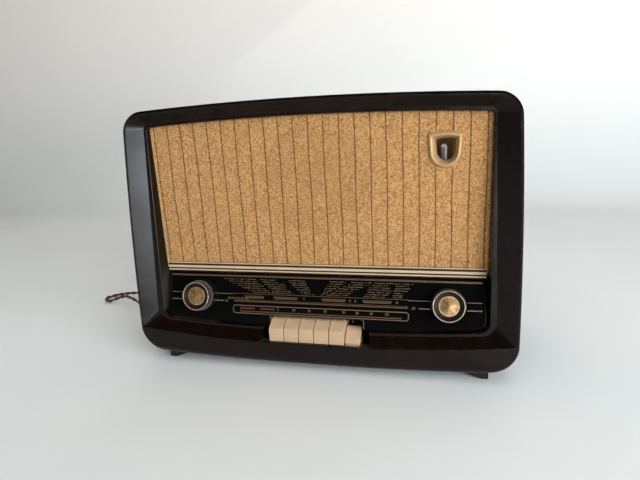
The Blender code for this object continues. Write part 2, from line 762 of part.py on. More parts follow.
def loudspeaker():
    at = (SPEAKER_X, 8.4, SPEAKER_Z)
    basket = turned(
        "speaker_basket",
        [
            (65.0, 0.0),
            (SPEAKER_RADIUS, 0.0),
            (SPEAKER_RADIUS, 1.4),
            (68.0, 1.6),
            (64.0, 14.0),
            (34.0, 44.0),
            (16.0, 44.0),
            (16.0, 42.6),
            (33.2, 42.6),
            (62.4, 13.4),
            (65.0, 5.0),
        ],
        32,
        STEEL,
        at,
        TO_REAR,
        around=True,
    )
    for i in range(4):
        angle = math.radians(45 + 90 * i)
        mesh = bmesh.new()
        add_box(mesh, (-15, -10, 17), (15, 30, 39))
        cutter = finish(f"basket_window_{i}_cutter", mesh, None, at, smooth=False)
        cutter.matrix_local = (
            Matrix.Translation([MM * value for value in at])
            @ Matrix.Rotation(angle, 4, "Y")
            @ Matrix.Rotation(math.pi / 2, 4, "X").inverted()
            @ Matrix.Translation((0.050, 0, 0))
        )
        boolean(basket, cutter)
    turned(
        "speaker_cone",
        [
            (61.8, 6.0),
            (63.6, 6.0),
            (63.6, 7.0),
            (61.6, 7.0),
            (58.5, 9.0),
            (15.0, 39.0),
            (9.0, 35.5),
            (0, 34.0),
            (0, 33.0),
            (9.2, 34.4),
            (15.0, 37.8),
            (58.0, 7.9),
        ],
        32,
        PAPER_CONE,
        at,
        TO_REAR,
        around=True,
    )
    magnet = [(0, 44.4), (30, 44.4), (31, 45.4), (31, 49.0), (26, 49.8)]
    magnet += [(26, 66.0), (31, 66.8), (31, 71.0), (30, 72.0), (0, 72.0)]
    turned("speaker_magnet", magnet, 24, LAMINATION, at, TO_REAR)


# --- chassis -------------------------------------------------------------------------------------


def chassis():
    thick = 1.5
    section = [
        (DECK_FRONT_Y, 20.0),
        (DECK_FRONT_Y, DECK_Z),
        (DECK_REAR_Y, DECK_Z),
        (DECK_REAR_Y, 20.0),
        (DECK_REAR_Y - thick, 20.0),
        (DECK_REAR_Y - thick, DECK_Z - thick),
        (DECK_FRONT_Y + thick, DECK_Z - thick),
        (DECK_FRONT_Y + thick, 20.0),
    ]
    mesh = bmesh.new()
    prism(mesh, section, -DECK_HALF, DECK_HALF, "X")
    finish("chassis", mesh, STEEL, smooth=False)


def transformer(name, low, high, window, leg):
    """A lamination block with two windows and a coil round its middle leg. Laminations stand along Y."""
    core = box(f"{name}_core", low, high, LAMINATION)
    middle = [(a + b) / 2 for a, b in zip(low, high)]
    half_window = window / 2
    for side in (-1, 1):
        x = middle[0] + side * (leg / 2 + half_window)
        cutter = box(
            f"{name}_window_{side + 1}_cutter",
            (x - half_window, low[1] - 5, low[2] + leg / 2 + 1),
            (x + half_window, high[1] + 5, high[2] - leg / 2 - 1),
            None,
        )
        boolean(core, cutter)
    z_low = low[2] + leg / 2 + 1 + GAP * 2
    z_high = high[2] - leg / 2 - 1 - GAP * 2
    depth = (high[1] - low[1]) / 2
    mesh = bmesh.new()
    loops = []
    for half_x, half_y, radius, z in (
        (leg / 2 + GAP, depth + GAP, 0.6, z_low),
        (leg / 2 + window - GAP, depth + window - GAP * 2, 3.0, z_low),
        (leg / 2 + window - GAP, depth + window - GAP * 2, 3.0, z_high),
        (leg / 2 + GAP, depth + GAP, 0.6, z_high),
    ):
        loops.append([(x, y, z - middle[2]) for x, y in rounded(half_x, half_y, radius)])
    loft(mesh, loops, around=True)
    finish(f"{name}_coil", mesh, WINDING, middle, smooth=False)


def valve(name, x, y, height, radius=10.8):
    z = DECK_Z + GAP
    profile = [
        (0, 0),
        (radius + 1.0, 0),
        (radius + 1.0, 9.0),
        (radius - 0.6, 10.0),
        (radius, 13.0),
        (radius, height - 7.0),
        (radius * 0.82, height - 3.2),
        (radius * 0.42, height - 1.0),
        (2.0, height),
        (1.2, height + 3.0),
        (0, height + 4.0),
    ]
    turned(name, profile, 16, CLEAR_GLASS, (x, y, z))


def square_can(name, x, y, half, height):
    z = DECK_Z + GAP
    mesh = bmesh.new()
    loops = []
    for inset, h in ((0, 0), (0, height - 1.5), (1.5, height)):
        loops.append([(a, b, h) for a, b in rounded(half - inset, half - inset, 3.0 - inset / 2)])
    loft(mesh, loops)
    finish(name, mesh, ALUMINIUM, (x, y, z))


def deck_parts():
    z = DECK_Z + GAP
    transformer("mains_transformer", (-196, 96, z), (-128, 134, z + 58), 11.0, 22.0)
    turned(
        "smoothing_capacitor",
        [(0, 0), (17.5, 0), (17.5, 70.0), (16.5, 72.0), (14.0, 72.0), (13.0, 70.8), (0, 70.8)],
        24,
        ALUMINIUM,
        (-99, 118, z),
    )
    valve("rectifier_valve", -64, 138, 62)
    valve("output_valve", -62, 106, 66)
    valve("audio_valve", -28, 134, 50)
    valve("if_amplifier_valve", 40, 136, 52)
    valve("mixer_valve", 78, 140, 54)
    square_can("if_transformer_1", 7, 128, 13.5, 56)
    square_can("if_transformer_2", 60, 108, 13.5, 56)
    output_transformer()
    mesh = bmesh.new()
    lathe(mesh, [(0, -85), (5, -85), (5, -40), (7.5, -40), (7.5, -12), (5, -12), (5, 85), (0, 85)], 16)
    finish("ferrite_aerial", mesh, FERRITE, (10, 146, 150), ALONG_X)


def output_transformer():
    z = DECK_Z + GAP
    low, high = (-28, 78, z), (8, 104, z + 34)
    middle = [(a + b) / 2 for a, b in zip(low, high)]
    mesh = bmesh.new()
    add_box(mesh, [a - m for a, m in zip(low, middle)], [b - m for b, m in zip(high, middle)])
    core = finish("output_transformer", mesh, LAMINATION, middle, smooth=False)
    mesh = bmesh.new()
    loops = [[(x, y, h) for x, y in rounded(11.5, 20, 3)] for h in (-10.5, 10.5)]
    loft(mesh, loops)
    coil = finish("output_coil_join", mesh, None, middle, smooth=False)
    boolean(core, coil, "UNION")


def half_disc(mesh, radius, y_low, y_high):
    """A vane: the upper half of a disc and a little more, so that its chord clears the axis."""
    outline_points = arc((0, 0), radius, -7.5, 187.5, 11)
    low = [mesh.verts.new((x, y_low, z)) for x, z in outline_points]
    high = [mesh.verts.new((x, y_high, z)) for x, z in outline_points]
    ring_faces(mesh, low, high)
    mesh.faces.new(low)
    mesh.faces.new(high)


def tuning_capacitor():
    """Vanes on a shaft along Y, with a cord drum in front; fixed vanes hang between them."""
    at = (DRUM_X, DRUM_Y, DRUM_Z)
    mesh = bmesh.new()
    lathe(
        mesh,
        [
            (0, -7.0),
            (5.0, -7.0),
            (5.0, -3.0),
            (DRUM_RADIUS, -3.0),
            (DRUM_RADIUS, -2.0),
            (DRUM_RADIUS - 2.0, -1.0),
            (DRUM_RADIUS - 2.0, 1.0),
            (DRUM_RADIUS, 2.0),
            (DRUM_RADIUS, 3.0),
            (6.0, 3.0),
            (3.0, 6.0),
            (3.0, 58.0),
            (0, 58.0),
        ],
        36,
        at=Matrix.Rotation(-math.pi / 2, 4, "X"),
    )
    drum = finish("tuning_drum", mesh, ALUMINIUM, at)
    count, pitch, first = 4, 7.0, 24.0
    for i in range(count):
        mesh = bmesh.new()
        y = first + pitch * i
        half_disc(mesh, 20.0, y, y + 1.2)
        vane = finish(f"vane_{i}_join", mesh, None, at, smooth=False)
        boolean(drum, vane, "UNION")

    mesh = bmesh.new()
    for i in range(count - 1):
        y = first + pitch * i + 3.5
        half = 21.0
        add_box(mesh, (-half - 3, y, -half + 4), (-4.2, y + 1.2, half - 4))
    plates = finish("tuning_capacitor_vanes", mesh, ALUMINIUM, at, smooth=False)
    mesh = bmesh.new()
    add_box(mesh, (-25.5, first + 1.0, -5), (-22.5, first + pitch * (count - 1) + 0.5, 5))
    bar = finish("vane_bar_join", mesh, None, at, smooth=False)
    boolean(plates, bar, "UNION")

    # Frame: two end plates on a floor, with clearance holes for the shaft.
    low_y, high_y, t = DRUM_Y + 15.0, DRUM_Y + 53.0, 1.5
    floor = DECK_Z + GAP
    top = DRUM_Z + 22
    section = [(low_y, floor), (high_y, floor), (high_y, top), (high_y - t, top), (high_y - t, floor + t)]
    section += [(low_y + t, floor + t), (low_y + t, top), (low_y, top)]
    mesh = bmesh.new()
    prism(mesh, section, DRUM_X - 30, DRUM_X + 24, "X")
    frame = finish("tuning_capacitor_frame", mesh, ALUMINIUM, smooth=False)
    mesh = bmesh.new()
    lathe(mesh, [(3.4, -10), (3.4, 80)], 16)
    boolean(frame, finish("capacitor_shaft_cutter", mesh, None, at, TO_REAR))


# --- back ----------------------------------------------------------------------------------------


def back():
    y = REAR_Y - 5.0
    mesh = bmesh.new()
    half_top, half_base = HALF_TOP - 9.5, HALF_BOTTOM - 11.0
    shape = outline(half_top, half_base, TOP_Z - 9.5, TOP_DROP, BASE_Z + 6.0, BASE_RISE, 18, 22)
    prism(mesh, [(x, z) for x, z, flag in shape], y, y + 3.0, "Y")
    cover = finish("back_cover", mesh, HARDBOARD, smooth=False)
    for row, z in enumerate((296.0, 280.0, 264.0, 248.0)):
        for side, x in (("l", -105.0), ("m", 0.0), ("r", 105.0)):
            low, high = (x - 42, y - 4, z - 2.2), (x + 42, y + 8, z + 2.2)
            boolean(cover, box(f"vent_{row}_{side}_cutter", low, high, None))
    boolean(cover, box("socket_window_cutter", (70, y - 4, 28), (150, y + 8, 48), None))
    mesh = bmesh.new()
    lathe(mesh, [(6.0, -12), (6.0, 12)], 16)
    boolean(cover, finish("cord_hole_cutter", mesh, None, (CORD_X, y, CORD_Z), TO_REAR))
    box("socket_plate", (73, DECK_REAR_Y + GAP, 25), (147, DECK_REAR_Y + 2.3, 50), PAXOLIN)


CORD_X = -150.0
CORD_Z = 34.0
CORD_RADIUS = 3.0
FLOOR_Z = CORD_RADIUS + 1.2
CORD_WAY = (
    (CORD_X, DECK_REAR_Y + 1.5, CORD_Z),
    (CORD_X, 168, CORD_Z),
    (CORD_X - 4, 180, CORD_Z - 6),
    (CORD_X - 16, 190, 14),
    (CORD_X - 40, 194, FLOOR_Z),
    (-240, 186, FLOOR_Z),
    (-300, 166, FLOOR_Z),
    (-352, 138, FLOOR_Z + 2),
    (-384, 140, FLOOR_Z + 12),
    (-412, 156, FLOOR_Z + 8),
    (-440, 150, FLOOR_Z),
    (-456, 164, FLOOR_Z),
    (-444, 182, FLOOR_Z),
    (-412, 184, FLOOR_Z + 4),
    (-370, 182, FLOOR_Z + 6),
    (-310, 196, FLOOR_Z),
    (-250, 212, FLOOR_Z),
    (-196, 216, FLOOR_Z + 4),
    (-172, 216, FLOOR_Z + 7.8),
)


def smooth_way(points, per_span):
    """A Catmull-Rom path through the points."""
    found = []
    ways = [Vector(p) for p in points]
    ways = [2 * ways[0] - ways[1]] + ways + [2 * ways[-1] - ways[-2]]
    for i in range(1, len(ways) - 2):
        a, b, c, d = ways[i - 1 : i + 3]
        for step in range(per_span):
            t = step / per_span
            bend = (2 * a - 5 * b + 4 * c - d) * t * t + (3 * b - a - 3 * c + d) * t**3
            found.append(0.5 * (2 * b + (c - a) * t + bend))
    found.append(ways[-2])
    return found


def tube(mesh, points, radius, steps):
    loops = []
    for i, point in enumerate(points):
        ahead = points[min(i + 1, len(points) - 1)] - points[max(i - 1, 0)]
        ahead.normalize()
        side = ahead.cross(Vector((0, 0, 1)))
        side = Vector((1, 0, 0)) if side.length < 0.05 else side.normalized()
        up = side.cross(ahead).normalized()
        loops.append([point + (side * x + up * y) for x, y, z in circle(radius, 0, steps)])
    loft(mesh, loops)


def mains_lead():
    mesh = bmesh.new()
    tube(mesh, smooth_way(CORD_WAY, 2), CORD_RADIUS, 8)
    finish("mains_cord", mesh, CORD)
    end = CORD_WAY[-1]
    at = (end[0] + 0.9, end[1], end[2])
    plug = turned(
        "mains_plug",
        [(0, 0), (5.0, 0), (6.0, 4.0), (9.6, 12.0), (11.0, 16.0), (11.0, 30.0), (10.4, 31.0), (0, 31.0)],
        16,
        BAKELITE,
        at,
        ALONG_X,
    )
    for side in (-1, 1):
        mesh = bmesh.new()
        lathe(mesh, [(0, 28.0), (2.2, 28.0), (2.2, 48.0), (1.2, 50.0), (0, 50.0)], 10)
        pin = finish(f"plug_pin_{side + 1}_join", mesh, None, (at[0], at[1] + side * 7.0, at[2]), ALONG_X)
        boolean(plug, pin, "UNION")


# --- assembly ------------------------------------------------------------------------------------

clear_scene()
RADIO = bpy.data.objects.new("radio_frame", None)
bpy.context.scene.collection.objects.link(RADIO)
RADIO.location = (0, -MIDDLE_Y * MM, -BASE_Z * MM)

cabinet()
foot("foot_front_left", -1, -21.5, 8.0)
foot("foot_front_right", 1, -21.5, 8.0)
foot("foot_rear_left", -1, 128.0, 155.0)
foot("foot_rear_right", 1, 128.0, 155.0)
cloth_and_baffle()
eye()
trim_bar()
dial()
knob("volume", LEFT_KNOB_X)
knob("tuning", RIGHT_KNOB_X)
shafts()
keys()
loudspeaker()
chassis()
deck_parts()
tuning_capacitor()
back()
mains_lead()
bpy.context.view_layer.update()
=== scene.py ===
"""The looks of a bakelite table radio: the pieces seen from outside, materials, floor, light and camera.

Shapes are worked out in millimetres in the cabinet's own frame: X to the right, Y to the back with 0
on the grille cloth, Z up with 0 on the table. row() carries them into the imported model's frame.
"""

import json
import math
import random

import bmesh
import bpy
from mathutils import Matrix, Vector


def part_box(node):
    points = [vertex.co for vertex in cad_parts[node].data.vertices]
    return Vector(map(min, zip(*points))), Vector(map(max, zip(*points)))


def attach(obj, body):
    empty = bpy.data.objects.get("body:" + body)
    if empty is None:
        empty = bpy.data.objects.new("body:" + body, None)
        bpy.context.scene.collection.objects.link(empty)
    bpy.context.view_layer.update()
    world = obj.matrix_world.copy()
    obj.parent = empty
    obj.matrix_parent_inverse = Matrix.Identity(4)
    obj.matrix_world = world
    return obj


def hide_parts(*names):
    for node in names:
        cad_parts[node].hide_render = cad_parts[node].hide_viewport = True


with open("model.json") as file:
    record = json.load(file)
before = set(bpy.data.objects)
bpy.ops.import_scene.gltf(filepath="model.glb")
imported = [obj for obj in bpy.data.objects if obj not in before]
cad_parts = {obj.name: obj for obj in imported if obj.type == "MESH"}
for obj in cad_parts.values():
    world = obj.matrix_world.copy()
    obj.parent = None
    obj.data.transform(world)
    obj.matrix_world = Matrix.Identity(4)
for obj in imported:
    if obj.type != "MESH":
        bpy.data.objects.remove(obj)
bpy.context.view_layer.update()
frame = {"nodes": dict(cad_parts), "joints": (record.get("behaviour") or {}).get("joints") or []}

MM = 0.001
MIDDLE_Y = 65.0
BASE_Z = 8.0
TO_ROW = Matrix.Translation((0, -MIDDLE_Y * MM, -BASE_Z * MM)) @ Matrix.Scale(MM, 4)

# Cabinet
HALF_TOP, HALF_BOTTOM, SIDE_BULGE = 235.6, 243.9, 3.1
TOP_Z, TOP_DROP, BASE_RISE, FLAT_HALF = 342.3, 7.5, 7.5, 31.0
REAR_Y, WALL = 166.0, 4.0
RIM_Y_AT_TOP, RIM_REF_Z, RIM_LEAN = -20.0, 320.0, 0.056
BAND_DEPTH = 12.0
RIM_FLARE = 1.8
CORNER_STEPS, TOP_STEPS, SIDE_STEPS, BASE_STEPS = 14, 30, 14, 35
CLOTH_HALF, CLOTH_TOP, CLOTH_DROP, FLANGE_Y = 210.5, 321.4, 6.3, -1.0
SHELF_Z, SHELF_RISE = 54.5, 8.0
CREST_Z, CREST_RISE = 38.3, 12.2
NOTCH_FRONT, NOTCH_REAR, NOTCH_FLOOR = 74.0, 64.0, 38.6
BACK_Y, BACK_THICK = 161.0, 3.0
SCREW_PLACES = ((-205, 300), (205, 300), (-214, 60), (214, 60), (0, 322), (0, 22))

# Cloth and magic eye
CLOTH_Y = -0.66
CLOTH_BOTTOM = 130.0
WEAVE = 1.17
STITCH_PITCH = 18.7
STITCH_LINES = 23
STITCH_BOTTOM, STITCH_STEP = 136.0, 2.7
SPEAKER_X, SPEAKER_Z, SPEAKER_RADIUS = 6.5, 246.0, 69.0
EYE_X, EYE_Z, EYE_HALF_WIDTH, EYE_HALF_HEIGHT = 159.6, 275.5, 19.2, 20.4
EYE_TUBE_Y, EYE_TUBE_RADIUS, EYE_GLASS_WALL, EYE_SHOULDER_Z = 20.6, 8.8, 0.9, 278.0
EYE_MOUTH_ASIDE = 1.2

# Dial
DIAL_LEAN = math.radians(14.9)
DIAL_TOP_Z, DIAL_TOP_Y = 120.6, -2.0
GLASS_HALF, GLASS_THICK, GLASS_NOTCH_HALF, GLASS_NOTCH_Z, GLASS_CORNER = 209.6, 3.0, 61.4, 68.0, 9.0
PRINT_LOW, PRINT_HIGH = -0.02, -0.14  # how far its back and its face stand out of the glass
DIAL_SEGMENTS = ((-98, -70), (-57, -24), (8, 40), (61, 98))
# Groups of dashes in the place of a dial's station list: left and right ends in the first and last row.
DASH_GROUPS = (
    (-128, -83, -86, -58), (-76, -50, -56, -30), (-38, -13, -18, -4), (48, 74, 14, 42), (20, 42, 8, 12),
    (76, 98, 62, 94), (102, 126, 100, 108),
)
DASH_ROWS = (113.0, 110.2, 107.4, 104.6, 101.8, 99.0, 96.6)
# The strokes that make each digit, named clockwise from the top as a to f, with g across the middle.
STROKES = {
    "0": "abcdef", "1": "bc", "2": "abged", "3": "abgcd", "4": "fgbc",
    "5": "afgcd", "6": "afgedc", "7": "abc", "8": "abcdefg", "9": "abcdfg",
}

# Knobs and keys
KNOB_RADIUS, KNOB_HEIGHT, DISC_RADIUS, FLUTES = 20.0, 13.4, 12.3, 42
KNOB_FACE_Y, KNOB_FACE_Z = -24.3, 94.0
SHAFT_RADIUS = 3.0
KEY_PITCH, KEY_WIDTH, KEY_FRONT = 19.9, 19.0, -56.0
KEY_HELD = math.radians(15.0)
KEY_NAMES = ("off_key", "pickup_key", "long_wave_key", "medium_wave_key", "short_wave_key", "fm_key")

# Mains lead
CORD_X, CORD_Z, WIRE_RADIUS, TWIST = -150.0, 34.0, 1.4, 26.0
LIE = 3.6
CORD_WAY = (
    (CORD_X, 155.5, CORD_Z), (CORD_X, 168, CORD_Z), (CORD_X - 4, 180, CORD_Z - 6), (CORD_X - 16, 190, 14),
    (CORD_X - 40, 194, LIE), (-240, 186, LIE), (-300, 166, LIE), (-352, 138, LIE + 2), (-384, 140, LIE + 12),
    (-412, 156, LIE + 8), (-440, 150, LIE), (-456, 164, LIE), (-444, 182, LIE), (-412, 184, LIE + 4),
    (-370, 182, LIE + 6), (-310, 196, LIE), (-250, 212, LIE), (-196, 216, LIE + 4), (-172, 216, LIE + 7.8),
)

# Light
WINDOW_GLOW = 21.0
ROOM_TINT = (0.98, 0.975, 0.97)
EVEN_LIGHT, GLOSS_ABOVE, GLOSS_BELOW, SEEN_BEYOND = 0.20, 0.010, 0.46, 0.62

random.seed(7)


# --- placing and building ------------------------------------------------------------------------


def row(x, y, z):
    return TO_ROW @ Vector((x, y, z))


def new_object(name, mesh):
    """An object made from a bmesh, which is freed."""
    data = bpy.data.meshes.new(name)
    mesh.to_mesh(data)
    mesh.free()
    obj = bpy.data.objects.new(name, data)
    bpy.context.scene.collection.objects.link(obj)
    return obj


def round_edges(obj, width, segments, limit):
    made = obj.modifiers.new("edges", "BEVEL")
    made.width = width * MM
    made.segments = segments
    made.limit_method = "ANGLE"
    made.angle_limit = math.radians(limit)
    return made


def add_flat_faces(obj):
    """Broad faces stay flat and only the narrow ones between them turn."""
    made = obj.modifiers.new("flat_faces", "WEIGHTED_NORMAL")
    made.keep_sharp = True


def piece(name, mesh, material, stands_for=(), body="radio", at=None, smooth=35, bevel=0.0,
          segments=3, limit=40, flat=False):
    """An object from a bmesh in millimetres. at places its own frame in the row frame, in metres."""
    bmesh.ops.recalc_face_normals(mesh, faces=mesh.faces[:])
    mesh.transform(TO_ROW if at is None else Matrix.Scale(MM, 4))
    obj = new_object(name, mesh)
    if at is not None:
        obj.matrix_world = at
    for one in material if isinstance(material, list) else [material]:
        obj.data.materials.append(one)
    if bevel:
        round_edges(obj, bevel, segments, limit).harden_normals = True
    obj.data.shade_smooth()
    if smooth < 180:
        obj.data.set_sharp_from_angle(angle=math.radians(smooth))
    if flat:
        add_flat_faces(obj)
    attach(obj, body)
    if stands_for:
        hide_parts(*stands_for)
    return obj


def cut(obj, mesh, name, at=None):
    """Takes the mesh out of the object; the cutter is removed once that has been applied."""
    bmesh.ops.recalc_face_normals(mesh, faces=mesh.faces[:])
    mesh.transform(TO_ROW if at is None else at @ Matrix.Scale(MM, 4))
    other = new_object(name, mesh)
    made = obj.modifiers.new(name, "BOOLEAN")
    made.object = other
    made.operation = "DIFFERENCE"
    made.solver = "EXACT"
    while obj.modifiers[0] != made:
        obj.modifiers.move(len(obj.modifiers) - 1, 0)
    bpy.context.view_layer.objects.active = obj
    with bpy.context.temp_override(object=obj, active_object=obj):
        bpy.ops.object.modifier_apply(modifier=made.name)
    bpy.data.objects.remove(other)


def ring_faces(mesh, first, second):
    count = len(first)
    for i in range(count):
        j = (i + 1) % count
        mesh.faces.new((first[i], first[j], second[j], second[i]))


def loft(mesh, loops, around=False):
    """Joins loops of points in turn. The ends are capped, or joined to each other if it goes around."""
    rows = [[mesh.verts.new(point) for point in loop] for loop in loops]
    for first, second in zip(rows, rows[1:]):
        ring_faces(mesh, first, second)
    if around:
        ring_faces(mesh, rows[-1], rows[0])
    else:
        mesh.faces.new(rows[0])
        mesh.faces.new(rows[-1])


def prism(mesh, shape, low, high, axis="Y"):
    """A flat shape drawn out along an axis. Its points are given in the order of the other two axes."""
    turn = "XYZ".index(axis)
    loft(mesh, [[(*point[:turn], height, *point[turn:]) for point in shape] for height in (low, high)])


def add_box(mesh, low, high):
    (x0, y0, z0), (x1, y1, z1) = low, high
    corners = [mesh.verts.new((x, y, z)) for x in (x0, x1) for y in (y0, y1) for z in (z0, z1)]
    for face in ((0, 1, 3, 2), (4, 6, 7, 5), (0, 4, 5, 1), (2, 3, 7, 6), (0, 2, 6, 4), (1, 5, 7, 3)):
        mesh.faces.new([corners[i] for i in face])


def lathe(mesh, profile, steps, around=False, place=Matrix.Identity(4)):
    """Revolves (radius, height) pairs about Z; a radius of 0 closes in a point."""
    turn = 2 * math.pi / steps
    rows = []
    for radius, height in profile:
        count = 1 if radius == 0 else steps
        ring = [(radius * math.cos(turn * i), radius * math.sin(turn * i), height) for i in range(count)]
        rows.append([mesh.verts.new(place @ Vector(point)) for point in ring])
    pairs = list(zip(rows, rows[1:]))
    if around:
        pairs.append((rows[-1], rows[0]))
    for first, second in pairs:
        if len(first) == 1 and len(second) == 1:
            continue
        if len(first) == 1 or len(second) == 1:
            tip, rim = (first[0], second) if len(first) == 1 else (second[0], first)
            for i in range(steps):
                mesh.faces.new((rim[i], rim[(i + 1) % steps], tip))
        else:
            ring_faces(mesh, first, second)
    if not around:
        for ring in (rows[0], rows[-1]):
            if len(ring) > 1:
                mesh.faces.new(ring)


def rounded_profile(points, radius, steps=4):
    """A profile with its corners rounded. Points are (a, b); the two ends stay."""
    found = [Vector(points[0])]
    for before, here, after in zip(points, points[1:], points[2:]):
        p, q, r = Vector(before), Vector(here), Vector(after)
        reach = min(radius, (p - q).length * 0.45, (r - q).length * 0.45)
        start = q + (p - q).normalized() * reach
        end = q + (r - q).normalized() * reach
        for i in range(steps + 1):
            t = i / steps
            found.append(start * (1 - t) ** 2 + q * 2 * t * (1 - t) + end * t * t)
    found.append(Vector(points[-1]))
    return [(v.x, v.y) for v in found]


def arc(centre, radius, start, end, steps):
    """Points on a circle between two angles in degrees."""
    angles = [math.radians(start + (end - start) * i / steps) for i in range(steps + 1)]
    return [(centre[0] + radius * math.cos(a), centre[1] + radius * math.sin(a)) for a in angles]


def rounded(half_width, half_height, radius, steps=4):
    """A rectangle with round corners, about its middle."""
    found = []
    for sx, sy, start in ((1, 1, 0), (-1, 1, 90), (-1, -1, 180), (1, -1, 270)):
        centre = (sx * (half_width - radius), sy * (half_height - radius))
        found += arc(centre, radius, start, start + 90, steps)
    return found


def smooth_way(points, per_span):
    """A Catmull-Rom path through the points."""
    ways = [Vector(p) for p in points]
    ways = [2 * ways[0] - ways[1]] + ways + [2 * ways[-1] - ways[-2]]
    found = []
    for i in range(1, len(ways) - 2):
        a, b, c, d = ways[i - 1 : i + 3]
        for step in range(per_span):
            t = step / per_span
            bend = (2 * a - 5 * b + 4 * c - d) * t * t + (3 * b - a - 3 * c + d) * t**3
            found.append(0.5 * (2 * b + (c - a) * t + bend))
    found.append(ways[-2])
    return found


# --- materials -----------------------------------------------------------------------------------


class Nodes:
    """One material's node tree. Lengths given to it are in millimetres."""

    def __init__(self, name, **settings):
        self.material = bpy.data.materials.new(name)
        self.material.use_nodes = True
        self.tree = self.material.node_tree
        self.shader = self.tree.nodes["Principled BSDF"]
        metres = self.put("TexCoord").outputs["Object"]
        self.mm = self.vector("MULTIPLY", metres, (1 / MM, 1 / MM, 1 / MM))
        self.set(**settings)

    def put(self, kind, inputs=None, **settings):
        node = self.tree.nodes.new("ShaderNode" + kind)
        for key, value in settings.items():
            setattr(node, key, value)
        for key, value in (inputs or {}).items():
            self.feed(node.inputs[key], value)
        return node

    def feed(self, socket, value):
        if isinstance(value, bpy.types.NodeSocket):
            self.tree.links.new(value, socket)
        elif socket.type == "RGBA" and len(value) == 3:
            socket.default_value = (*value, 1.0)
        else:
            socket.default_value = value

    def set(self, **settings):
        for key, value in settings.items():
            self.feed(self.shader.inputs[key.replace("_", " ")], value)
        return self

    def math(self, operation, a, b=0.0, c=0.0):
        return self.put("Math", {0: a, 1: b, 2: c}, operation=operation).outputs[0]

    def vector(self, operation, a, b=(0.0, 0.0, 0.0)):
        return self.put("VectorMath", {0: a, 1: b}, operation=operation).outputs["Vector"]

    def stretch(self, x, y, z):
        return self.vector("MULTIPLY", self.mm, (x, y, z))

    def length(self, vector):
        return self.put("VectorMath", {0: vector}, operation="LENGTH").outputs["Value"]

    def from_z(self):
        """Distance from the Z axis."""
        return self.length(self.stretch(1, 1, 0))

    def noise(self, size, detail=3.0, rough=0.55, vector=None, twist=0.0):
        inputs = {"Vector": vector or self.mm, "Scale": 1.0 / size, "Detail": detail, "Roughness": rough}
        inputs["Distortion"] = twist
        return self.put("TexNoise", inputs).outputs[0]

    def cells(self, size):
        return self.put("TexVoronoi", {"Vector": self.mm, "Scale": 1.0 / size}).outputs["Distance"]

    def band(self, value, low, high, to_low=0.0, to_high=1.0):
        inputs = {"Value": value, "From Min": low, "From Max": high, "To Min": to_low, "To Max": to_high}
        return self.put("MapRange", inputs, clamp=True).outputs[0]

    def mix(self, share, a, b):
        node = self.put("Mix", data_type="RGBA")
        self.feed(node.inputs[0], share)
        self.feed(node.inputs[6], a)
        self.feed(node.inputs[7], b)
        return node.outputs[2]

    def bump(self, height, depth, strength=1.0, normal=None):
        inputs = {"Height": height, "Distance": depth * MM, "Strength": strength}
        if normal:
            inputs["Normal"] = normal
        return self.put("Bump", inputs).outputs[0]

    def axes(self):
        return self.put("SeparateXYZ", {0: self.mm}).outputs


def bakelite(name="bakelite", dark=(0.0042, 0.0017, 0.0008), light=(0.0082, 0.0034, 0.0016), rough=0.27,
             level=0.30, crest=0.0):
    """Polished brown moulding: slow swirls, pale flecks, a painted highlight on convex edges, long fine
    scratches.
    A crest is the radius out to which ribs stand from the grooves: the rib tops get a painted highlight, and
    the grooves and all nearer the axis get painted shade."""
    n = Nodes(name)
    flow = n.noise(26, 5, 0.6, n.stretch(1, 1, 0.55), 1.2)
    fleck = n.noise(1.6, 2, 0.7)
    colour = n.mix(n.band(flow, 0.42, 0.75), dark, light)
    colour = n.mix(n.band(fleck, 0.66, 0.80, 0, 0.35), colour, (0.06, 0.035, 0.02))
    edge = n.put("NewGeometry").outputs["Pointiness"]
    # Painted highlight: convex edges are paled.
    colour = n.mix(n.band(edge, 0.53, 0.60, 0, 0.30), colour, (0.075, 0.05, 0.035))
    if crest:
        away = n.from_z()
        # Painted shade: the grooves and everything nearer the axis are darkened.
        colour = n.mix(n.band(away, crest - 1.2, crest - 0.6, 0.6, 0), colour, (0.003, 0.002, 0.002))
        # Painted highlight: the rib tops are paled to light grey.
        colour = n.mix(n.band(away, crest - 0.5, crest + 0.2, 0, 0.9), colour, (0.23, 0.20, 0.185))
    scratch = n.noise(3.0, 6, 0.8, n.stretch(0.12, 0.4, 1.6))
    haze = n.band(n.noise(45, 3), 0.35, 0.7, rough - 0.05, rough + 0.07)
    haze = n.math("ADD", haze, n.band(scratch, 0.62, 0.75, 0, 0.10))
    normal = n.bump(n.noise(34, 2), 0.35, 0.35)
    normal = n.bump(n.noise(0.7, 3, 0.7), 0.012, 0.6, normal)
    return n.set(Base_Color=colour, Roughness=haze, Normal=normal, Specular_IOR_Level=level).material


